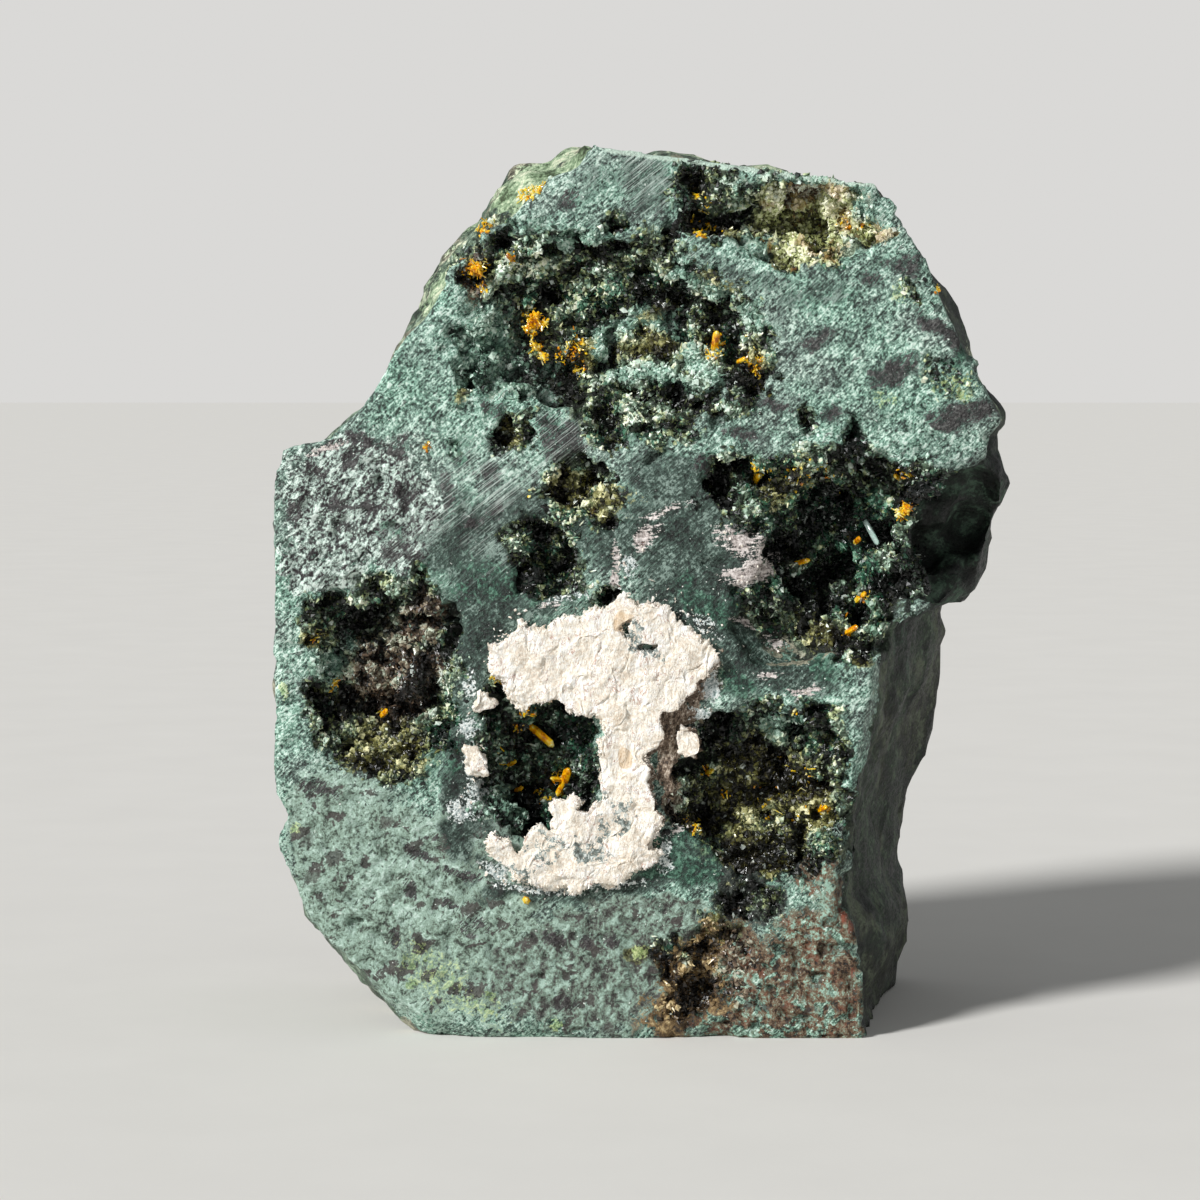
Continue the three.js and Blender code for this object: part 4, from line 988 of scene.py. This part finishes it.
def scatter(name, surface, maskName, shapes, perSquare, scale, tilt, seed):
    bpy.ops.mesh.primitive_cube_add(size=mm, location=(0, 0, 0))
    piece = bpy.context.active_object
    piece.name = name
    tree = bpy.data.node_groups.new(name + "Nodes", "GeometryNodeTree")
    tree.interface.new_socket("Geometry", in_out="OUTPUT", socket_type="NodeSocketGeometry")
    new, link = tree.nodes.new, tree.links.new

    def objectShape(source):
        node = new("GeometryNodeObjectInfo")
        node.inputs["Object"].default_value = source
        return node.outputs["Geometry"]

    def randomValue(kind, low, high, shift):
        node = new("FunctionNodeRandomValue")
        node.data_type = kind
        first = 0 if kind == "FLOAT_VECTOR" else 2
        node.inputs[first].default_value = low
        node.inputs[first + 1].default_value = high
        node.inputs["Seed"].default_value = seed + shift
        return node.outputs[0 if kind == "FLOAT_VECTOR" else 1]

    wanted = new("GeometryNodeInputNamedAttribute")
    wanted.inputs["Name"].default_value = maskName
    density = new("ShaderNodeMath")
    density.operation = "MULTIPLY"
    link(wanted.outputs["Attribute"], density.inputs[0])
    density.inputs[1].default_value = perSquare / mm ** 2
    points = new("GeometryNodeDistributePointsOnFaces")
    link(objectShape(surface), points.inputs["Mesh"])
    link(density.outputs[0], points.inputs["Density"])
    points.inputs["Seed"].default_value = seed
    turn = new("FunctionNodeRotateRotation")
    turn.rotation_space = "LOCAL"
    link(points.outputs["Rotation"], turn.inputs["Rotation"])
    lean = math.radians(tilt)
    spin = randomValue("FLOAT_VECTOR", (-lean, -lean, -math.pi), (lean, lean, math.pi), 1)
    link(spin, turn.inputs["Rotate By"])
    picks = new("GeometryNodeJoinGeometry")
    for shape in shapes:
        single = new("GeometryNodeGeometryToInstance")
        link(objectShape(shape), single.inputs[0])
        link(single.outputs[0], picks.inputs[0])
    copies = new("GeometryNodeInstanceOnPoints")
    copies.inputs["Pick Instance"].default_value = True
    link(points.outputs["Points"], copies.inputs["Points"])
    link(picks.outputs[0], copies.inputs["Instance"])
    link(turn.outputs[0], copies.inputs["Rotation"])
    low, high = scale
    link(randomValue("FLOAT_VECTOR", (low, low, low), (high, high, high), 2), copies.inputs["Scale"])
    store = new("GeometryNodeStoreNamedAttribute")
    store.domain = "INSTANCE"
    store.inputs["Name"].default_value = "tint"
    link(copies.outputs[0], store.inputs["Geometry"])
    link(randomValue("FLOAT", 0.0, 1.0, 3), store.inputs["Value"])
    real = new("GeometryNodeRealizeInstances")
    link(store.outputs[0], real.inputs[0])
    link(real.outputs[0], new("NodeGroupOutput").inputs[0])
    modifier = piece.modifiers.new("scatter", "NODES")
    modifier.node_group = tree
    applyModifiers(piece)
    return piece


def druseMaterial():
    f = Finish("druseGrainFinish")
    tint = f.mask("tint")
    fine = f.mixed((f.grain(0.4, 2), 1.0), (f.grain(1.8, 2), 0.6))
    # painted light and shade: grains are lighter on crests and where lit is painted, darker in pits and where
    # shade is painted
    light = f.total((tint, 0.74), (fine, 0.42), (f.mask("crest"), 0.5), (f.mask("pale"), 0.2),
                    (f.mask("cavity"), -0.42), (f.mask("shade"), -0.25), (f.mask("straw"), 0.36),
                    (f.mask("olive"), -0.09), (f.mask("lit"), 0.28), (f.mask("soot"), -0.35), start=-0.26)
    tone = f.tones(light, (3, 6, 3), (17, 25, 16), (46, 61, 45), (93, 115, 93), (164, 190, 168),
                   (234, 246, 232))
    malachite = f.tones(light, (2, 9, 5), (8, 30, 20), (24, 60, 43), (56, 104, 80), (136, 178, 152))
    greener = f.total((f.mask("green"), 0.8), (f.grain(1.5, 3), 1.0), (tint, 0.15))
    tone = f.blend(f.step(greener, 0.58, 0.7), tone, malachite)
    # some grains are sallow
    sallow = f.tones(light, (8, 7, 2), (28, 28, 12), (66, 70, 38), (120, 129, 84), (194, 205, 154),
                     (248, 248, 222))
    yellowish = f.total((f.grain(0.5, 3, 0.7), 1.0), (tint, 0.16), (f.mask("shade"), -0.14))
    tone = f.blend(f.step(yellowish, 0.59, 0.66, 0, 0.85), tone, sallow)

    # the grains of a painted part take its colours, one grain sooner than another
    def spread(over, share, low, high, *names):
        painted = [(f.mask(name), 1.0) for name in names]
        return f.blend(f.step(f.total(*painted, (tint, share)), low, high), tone, over)

    aqua = f.tones(light, (18, 30, 23), (64, 90, 76), (106, 138, 120), (148, 180, 161), (204, 224, 210))
    tone = spread(aqua, 0.4, 0.5, 0.9, "pale")
    gold = f.tones(light, (12, 10, 2), (46, 42, 14), (94, 92, 46), (154, 152, 98), (234, 230, 182))
    tone = spread(gold, 0.4, 0.5, 1.0, "olive")
    straw = f.tones(light, (28, 27, 10), (94, 95, 48), (152, 159, 104), (208, 216, 160), (252, 250, 220))
    straw = f.blend(f.times(f.step(f.grain(1.4, 3), 0.5, 0.58), 0.5), straw, (150, 100, 48))
    tone = spread(straw, 0.3, 0.45, 0.8, "straw")
    brown = f.tones(light, (15, 11, 8), (54, 43, 34), (104, 86, 70), (150, 140, 120), (198, 206, 186))
    tone = spread(brown, 0.4, 0.5, 0.9, "rust", "slope")
    amber = f.tones(light, (16, 11, 5), (54, 41, 25), (98, 78, 48), (140, 116, 76), (206, 186, 140))
    tone = spread(amber, 0.5, 0.6, 1.0, "amber")
    # painted glints: a few grains get a near-white colour
    glint = f.times(f.step(tint, 0.965, 0.97), f.step(f.grain(0.9, 2), 0.45, 0.55))
    tone = f.blend(f.times(glint, 0.75), tone, (218, 230, 222))
    rough = f.step(tint, 0, 1, 0.5, 0.22)
    normal = f.bump(f.grain(0.08, 2), 0.7, 0.03)
    f.dress({"Base Color": tone, "Roughness": rough, "Specular IOR Level": 0.6, "Normal": normal})
    return f.material


grains = dict(perSquare=56, scale=(0.5, 1.6), tilt=70)

grainShapes = [
    crumbShape("largeCrumb", 0.15, 1),
    crumbShape("mediumCrumb", 0.11, 2),
    crumbShape("smallCrumb", 0.08, 4),
    crumbShape("slabCrumb", 0.14, 3, (1.2, 0.5, 0.8)),
    crumbShape("bladeCrumb", 0.13, 7, (1.9, 0.35, 0.6)),
]
druseFinish = druseMaterial()
for number, part in enumerate(druse):
    piece = scatter(part + "Druse", rockPiece, part + "Grains", grainShapes, seed=10 + number, **grains)
    finishPiece(piece, druseFinish)
    print(piece.name, len(piece.data.polygons), "faces")

# ---- the chalky crust

crust = dict(
    voxel=0.085,
    wander=((0.9, 0.26), (0.4, 0.3), (0.2, 0.2)),  # how the edge wanders: size and reach
    drift=(0.9, 0.5),  # size and reach of the moves along the face
    curds=((1.0, 0.05), (0.42, 0.03)),
    flaky=((0.7, 0.07), (0.27, 0.055), (0.16, 0.05)),
    folds=((0.27, 0.6, 0.6), 0.03),  # upright wrinkles
    crease=(0.02, 0.14),  # mm deep
    rim=(0.25, 0.7),  # how far a facet has turned away from the front
    crumbs=(0.4, 0.1),  # mm behind the face
    smooth=60,
    flankLeft=(0.3, 1.0),  # the right flank, brown with painted shade, starts here, and fades towards its ends
    flankTop=(19.5, 18),
    flankFoot=(10.5, 12),
    thin=[
        (-2.6, 9.5, 0.9, 0.5, 10, 0.9), (-0.8, 11.3, 0.6, 0.8, 0.9), (-1.8, 10.4, 0.3, 1.2, 0.7),
        (-0.1, 20.6, 0.4, 0.7, 0.8), (0.6, 19.7, 0.8, 0.25, -40, 0.9), (-4.6, 9.6, 1.2, 0.8, 0.5),
        (-6.2, 8.8, 1.0, 0.5, -20, 0.55), (-1.7, 12.6, 0.3, 0.5, 0.5), (-5.6, 8.6, 0.25, 0.5, 0.8),
    ],
    stains=[
        (-0.8, 14.5, 0.35, 0.35), (-0.7, 21.5, 0.35, 0.4, 0.9), (-0.9, 16.4, 0.3, 0.5, 0.5),
        (-0.6, 17.6, 0.4, 0.3, 0.4), (-4.6, 17.2, 0.4, 0.2, 0.6),
    ],
)


def makeCrust(node, name):
    piece = copyNode(node, name)
    voxelRemesh(piece, crust["voxel"])
    shape = readShape(piece)
    size, reach = crust["drift"]
    along = reach * noiseAt(shape, size, 87)
    upward = reach * noiseAt(shape, size, 89)
    shape.places += np.stack((along, 0 * along, upward), axis=1) * mm
    addSway(shape)
    top = np.clip(-shape.normals[:, 1], 0, 1)
    rim = 1 - np.abs(shape.normals[:, 1])
    wander = sum(noiseAt(shape, size, 61 + size) * reach for size, reach in crust["wander"])
    curds = sum(lumpsAt(shape, size, 73 + size) * height for size, height in crust["curds"])
    curds += sum(noiseAt(shape, size, 83 + size) * height for size, height in crust["flaky"])
    size, height = crust["folds"]
    folds = 1 - 3 * np.abs(noiseAt(shape, np.array(size), 71) + 0.3 * noiseAt(shape, 0.5, 79))
    pushOut(piece, shape, wander * rim + (curds + folds * height) * np.maximum(top, 0.5 * rim))
    paint(piece, "crease", smoothStep(-curds - 0.5 * folds * height, *crust["crease"]) * top)
    paint(piece, "thin", spotsOn(shape, crust["thin"]))
    paint(piece, "stain", spotsOn(shape, crust["stains"]))
    # the right-facing flank, away from the key light, takes brown with painted shade
    flank = np.clip(shape.normals[:, 0], 0, 1) * smoothStep(shape.u, *crust["flankLeft"])
    flank *= smoothStep(shape.w, *crust["flankTop"]) * smoothStep(shape.w, *crust["flankFoot"])
    paint(piece, "flank", flank)
    paint(piece, "crumbs", smoothStep(rim, *crust["rim"]) * smoothStep(shape.depth, *crust["crumbs"]))
    smoothEdges(piece, crust["smooth"])
    return piece


def crustMaterial():
    f = Finish("chalkyCrustFinish")
    fine = f.grain(0.14, 3, 0.65, 0.4)
    soft = f.grain(0.8, 3, 0.5)
    tone = f.tones(f.mixed((fine, 1.0), (soft, 0.7)), (224, 210, 192), (243, 235, 220), (250, 245, 235),
                   (253, 251, 246))
    folded = f.mixed((fine, 1.0), (soft, 0.5))
    tone = f.cover(tone, (206, 172, 150), "crease", folded, 0.35, 0.6, 0.2, share=0.3)
    # thin rosy creases
    streak = f.grain(1, 3, 0.6, 0.9, f.turned((0, 14, 0), (0.45, 0.6, 0.9)))
    thinLine = f.step(f.maths("ABSOLUTE", f.total((streak, 1.0), start=-0.5)), 0.022, 0.004)
    rosy = f.times(thinLine, f.step(f.total((soft, 1.0), (fine, 0.6)), 0.76, 0.84))
    tone = f.blend(f.times(rosy, 0.75), tone, (176, 130, 108))
    tone = f.cover(tone, (198, 160, 104), "stain", fine, 0.5, share=0.5)
    lace = f.mixed((fine, 1.0), (f.grain(0.4, 3, 0.6), 1.0))
    worn = f.tones(f.mixed((fine, 1.0), (f.grain(0.3, 3, 0.7), 0.8)), (34, 46, 44), (74, 90, 87),
                   (118, 134, 130), (206, 212, 206))
    tone = f.cover(tone, worn, "thin", lace, 0.35, 1.1, 0.08, share=0.9)
    # brown colour and painted shade on the right flank
    brownFlankShade = f.tones(fine, (58, 47, 40), (108, 92, 78), (214, 202, 186))
    tone = f.cover(tone, brownFlankShade, "flank", lace, 0.66, 0.7, 0.12)
    fibres = f.grain(1, 3, 0.65, 0.6, f.turned((0, 12, 0), (0.1, 0.3, 0.34)))
    normal = f.bump(f.total((fine, 0.8), (fibres, 0.7)), 1.0, 0.1)
    f.dress({"Base Color": tone, "Roughness": 0.95, "Specular IOR Level": 0.15, "Normal": normal})
    return f.material


crustFinish = crustMaterial()
crustPieces = []
for node in [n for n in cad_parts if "crust" in n]:
    crustPieces.append(makeCrust(node, node + "_chalk"))
    finishPiece(crustPieces[-1], crustFinish, [node])
print("crust made")

chips = dict(perSquare=16, scale=(0.4, 1.5), tilt=180)
curds = dict(perSquare=40, scale=(0.5, 1.6), tilt=180)
strewing = dict(
    reach=0.45,  # mm that chips lie away from the crust
    around=((-2, 15), (8, 9)),  # the middle of the crust, and half of what is searched
    far=9.0,
    widest=3,
    deepest=2.5,  # mm behind the face
    films=0.3,  # share of the chips that lie on the chalk films
    spots=[
        (2.9, 21.3, 2.4, 0.5, -42, 0.7), (-6.6, 8.1, 1.2, 0.4, -20, 0.4), (-0.9, 23.6, 0.4, 0.9, 0.4),
        (-8.3, 12.4, 0.5, 1.4, 0.35), (-3.6, 22.0, 1.6, 0.4, 0.15), (2.2, 10.4, 0.6, 0.5, 0.2),
    ],
)


# How many chips lie on the rock: most of them along the rim of the crust.
def paintChips(surface):
    shape = readShape(surface)
    addSway(shape)
    corners = [vertex.co for piece in crustPieces for vertex in piece.data.vertices if vertex.index % 4 == 0]
    tree = KDTree(len(corners))
    for index, corner in enumerate(corners):
        tree.insert(corner, index)
    tree.balance()
    away = np.full(len(shape.u), strewing["far"])
    (u, w), (halfU, halfW) = strewing["around"]
    close = (shape.depth < 1.0) & (np.abs(shape.u - u) < halfU) & (np.abs(shape.w - w) < halfW)
    for index in np.nonzero(close)[0]:
        away[index] = tree.find(surface.data.vertices[index].co)[2] / mm
    rimmed = 0.8 * np.clip(1 - away / strewing["reach"] + shape.swayU, 0, 1) * (away < strewing["widest"])
    films = spotsOn(shape, tints["chalk"]) * strewing["films"]
    strewn = spotsOn(shape, strewing["spots"])
    strewn = np.max([rimmed, films, strewn], axis=0)
    paint(surface, "chipsOn", strewn * (shape.depth < strewing["deepest"]))


paintChips(rockPiece)
chipShapes = [crumbShape("roundChip", 0.07, 1), crumbShape("flatChip", 0.09, 2, (1.8, 0.7, 0.4)),
              crumbShape("tinyChip", 0.04, 3), crumbShape("longChip", 0.07, 4, (2.2, 0.6, 0.5))]
looseChips = scatter("chalkChips", rockPiece, "chipsOn", chipShapes, seed=31, **chips)
finishPiece(looseChips, crustFinish)
curdShapes = [crumbShape("curd", 0.09, 5, (1.4, 0.8, 0.5)), crumbShape("smallCurd", 0.06, 6)]
looseCurds = scatter("chalkCurds", crustPieces[-1], "crumbs", curdShapes, seed=37, **curds)
finishPiece(looseCurds, crustFinish)
print("chips and curds:", len(looseChips.data.polygons) + len(looseCurds.data.polygons), "faces")

# ---- kasolite and the pale blade


def kasoliteMaterial():
    f = Finish("kasoliteFinish")
    streaks = f.grain(0.22, 3, 0.65, 0.6)
    clouds = f.grain(0.8, 2)
    value = f.total((f.mixed((streaks, 0.8), (clouds, 1.0)), 0.8), (f.mask("tint"), 0.35))
    # orange to yellow colour; the palest yellow is a painted highlight
    tone = f.tones(value, (176, 100, 6), (238, 156, 2), (254, 192, 10), (255, 218, 56), (255, 246, 182))
    f.dress({"Base Color": tone, "Roughness": 0.15, "IOR": 1.7, "Transmission Weight": 0.12})
    f.dress({"Subsurface Weight": 0.3, "Subsurface Radius": (1.0, 0.7, 0.15), "Subsurface Scale": 0.15 * mm,
             "Normal": f.bump(streaks, 0.6, 0.04)})
    return f.material


def bladeMaterial():
    f = Finish("paleBladeFinish")
    tone = f.tones(f.grain(0.4, 3), (176, 232, 214), (250, 255, 252))
    normal = f.bump(f.grain(0.2, 3), 0.3, 0.02)
    f.dress({"Base Color": tone, "Roughness": 0.12, "Transmission Weight": 0.5, "Normal": normal})
    return f.material


kasoliteShapes = [
    prismShape("shortPrism", 6, 0.075, 0.07, 0.3, 0.05),
    prismShape("thinPrism", 6, 0.045, 0.04, 0.5, 0.06),
    prismShape("stoutPrism", 6, 0.1, 0.09, 0.22, 0.06),
]
bristles = dict(perSquare=34, scale=(0.35, 0.95), tilt=50)
crystalEdges = dict(width=0.015, segments=2, smooth=25)


def makeCrystal(node, name):
    piece = copyNode(node, name)
    bevel = piece.modifiers.new("edges", "BEVEL")
    bevel.width = crystalEdges["width"] * mm
    bevel.segments = crystalEdges["segments"]
    bevel.limit_method = "ANGLE"
    applyModifiers(piece)
    smoothEdges(piece, crystalEdges["smooth"])
    return piece


# Small prisms stand out all over a cluster.
def addBristles(piece, seed):
    paint(piece, "goldOn", np.ones(len(piece.data.vertices)))
    small = scatter(piece.name + "Bristles", piece, "goldOn", kasoliteShapes, seed=seed, **bristles)
    onlySelect(piece)
    small.select_set(True)
    bpy.ops.object.join()


kasoliteFinish = kasoliteMaterial()
for number, node in enumerate(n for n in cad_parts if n.startswith("kasolite")):
    piece = makeCrystal(node, node + "_glassy")
    if "cluster" in node and node != "kasolite_cluster_low":
        addBristles(piece, 50 + number)
    finishPiece(piece, kasoliteFinish, [node])
finishPiece(makeCrystal("pale_blade", "pale_blade_glassy"), bladeMaterial(), ["pale_blade"])
goldSpots = [
    (-8.1, 38.9, 0.5, 0.3, 30, 1), (-6.3, 39.3, 0.15, 0.25), (-7.7, 37.7, 0.2, 0.15), (-5.4, 36.5, 0.25, 0.3),
    (-5.3, 35.8, 0.25, 0.4), (-5.1, 34.8, 0.2, 0.2), (-3.8, 34.5, 0.9, 0.25, 0.5),
    (-3.0, 35.0, 0.4, 0.4, 0.5), (-2.9, 33.7, 0.25, 0.25, 0.8), (3.9, 35.2, 0.3, 0.4), (3.8, 34.6, 0.3, 0.25),
    (5.9, 34.2, 0.3, 0.5, 0.8), (3.1, 42.4, 0.2, 0.15), (3.5, 41.8, 0.15, 0.15, 0.8), (3.1, 40.5, 0.25, 0.2),
    (4.0, 40.7, 0.25, 0.12, 20, 1), (6.0, 28.7, 0.35, 0.25), (6.7, 28.9, 0.15, 0.12), (6.9, 28.2, 0.15, 0.15),
    (13.4, 28.6, 0.35, 0.12, 10, 1), (13.8, 26.8, 0.3, 0.25), (11.4, 25.1, 0.2, 0.15),
    (11.6, 22.2, 0.3, 0.15, 40, 0.8), (10.7, 20.6, 0.12, 0.2), (8.0, 16.5, 0.15, 0.15),
    (3.7, 13.3, 0.25, 0.12, 15, 1), (2.5, 11.0, 0.2, 0.15, 0.7), (3.0, 10.6, 0.2, 0.25, 0.7),
    (4.5, 12.1, 0.25, 0.2, 0.4), (9.5, 11.4, 0.3, 0.2, 0.8), (-12.9, 16.3, 0.15, 0.12),
    (-7.2, 18.4, 0.4, 0.15, -25, 1), (-5.6, 16.4, 0.4, 0.15, -15, 1), (-6.0, 15.6, 0.2, 0.15),
    (-6.8, 14.3, 0.25, 0.1, 0.8), (-6.7, 13.7, 0.2, 0.2), (-3.7, 13.1, 0.35, 0.2, 20, 1),
    (-4.2, 12.9, 0.25, 0.15), (-4.4, 12.0, 0.4, 0.15, 0.8), (-5.0, 12.0, 0.2, 0.2, 0.6),
    (-15.4, 17.8, 0.2, 0.25, 0.7), (-10.5, 29.9, 0.15, 0.2, 0.6), (-5.4, 27.6, 0.2, 0.15, 0.6),
    (8.8, 28.3, 1.4, 0.8, 0.04), (9.6, 28.5, 0.3, 0.3, 0.3), (7.6, 12.2, 1.6, 1.6, 0.04),
    (10.7, 41.0, 0.8, 0.25, -5, 0.25), (-5.3, 42.6, 0.5, 0.4, 30, 0.9), (-7.6, 41.0, 0.4, 0.4, 0.5),
    (-16.2, 20.3, 0.2, 0.25, 0.5), (14.9, 37.7, 0.15, 0.12, 0.7),
]
kasoliteGrains = dict(perSquare=75, scale=(0.35, 1.15), tilt=75)
goldReach = dict(skin=1.2, deep=7, turn=-0.35)  # mm behind the face, and how far the deep facets face front
goldSway = dict(size=0.5, reach=0.25)


def paintGold(surface):
    shape = readShape(surface)
    shape.swayU = goldSway["reach"] * noiseAt(shape, goldSway["size"], 91)
    shape.swayW = goldSway["reach"] * noiseAt(shape, goldSway["size"], 93)
    turned = shape.normals[:, 1] < goldReach["turn"]
    reached = (shape.depth < goldReach["skin"]) | ((shape.depth < goldReach["deep"]) & turned)
    paint(surface, "goldOn", spotsOn(shape, goldSpots, 0.5) * reached)


paintGold(rockPiece)
fineKasolite = scatter("kasoliteGrains", rockPiece, "goldOn", kasoliteShapes, seed=41, **kasoliteGrains)
finishPiece(fineKasolite, kasoliteFinish)
print("crystals made, fine ones:", len(fineKasolite.data.polygons), "faces")

for shape in grainShapes + chipShapes + curdShapes + kasoliteShapes:
    bpy.data.objects.remove(shape)
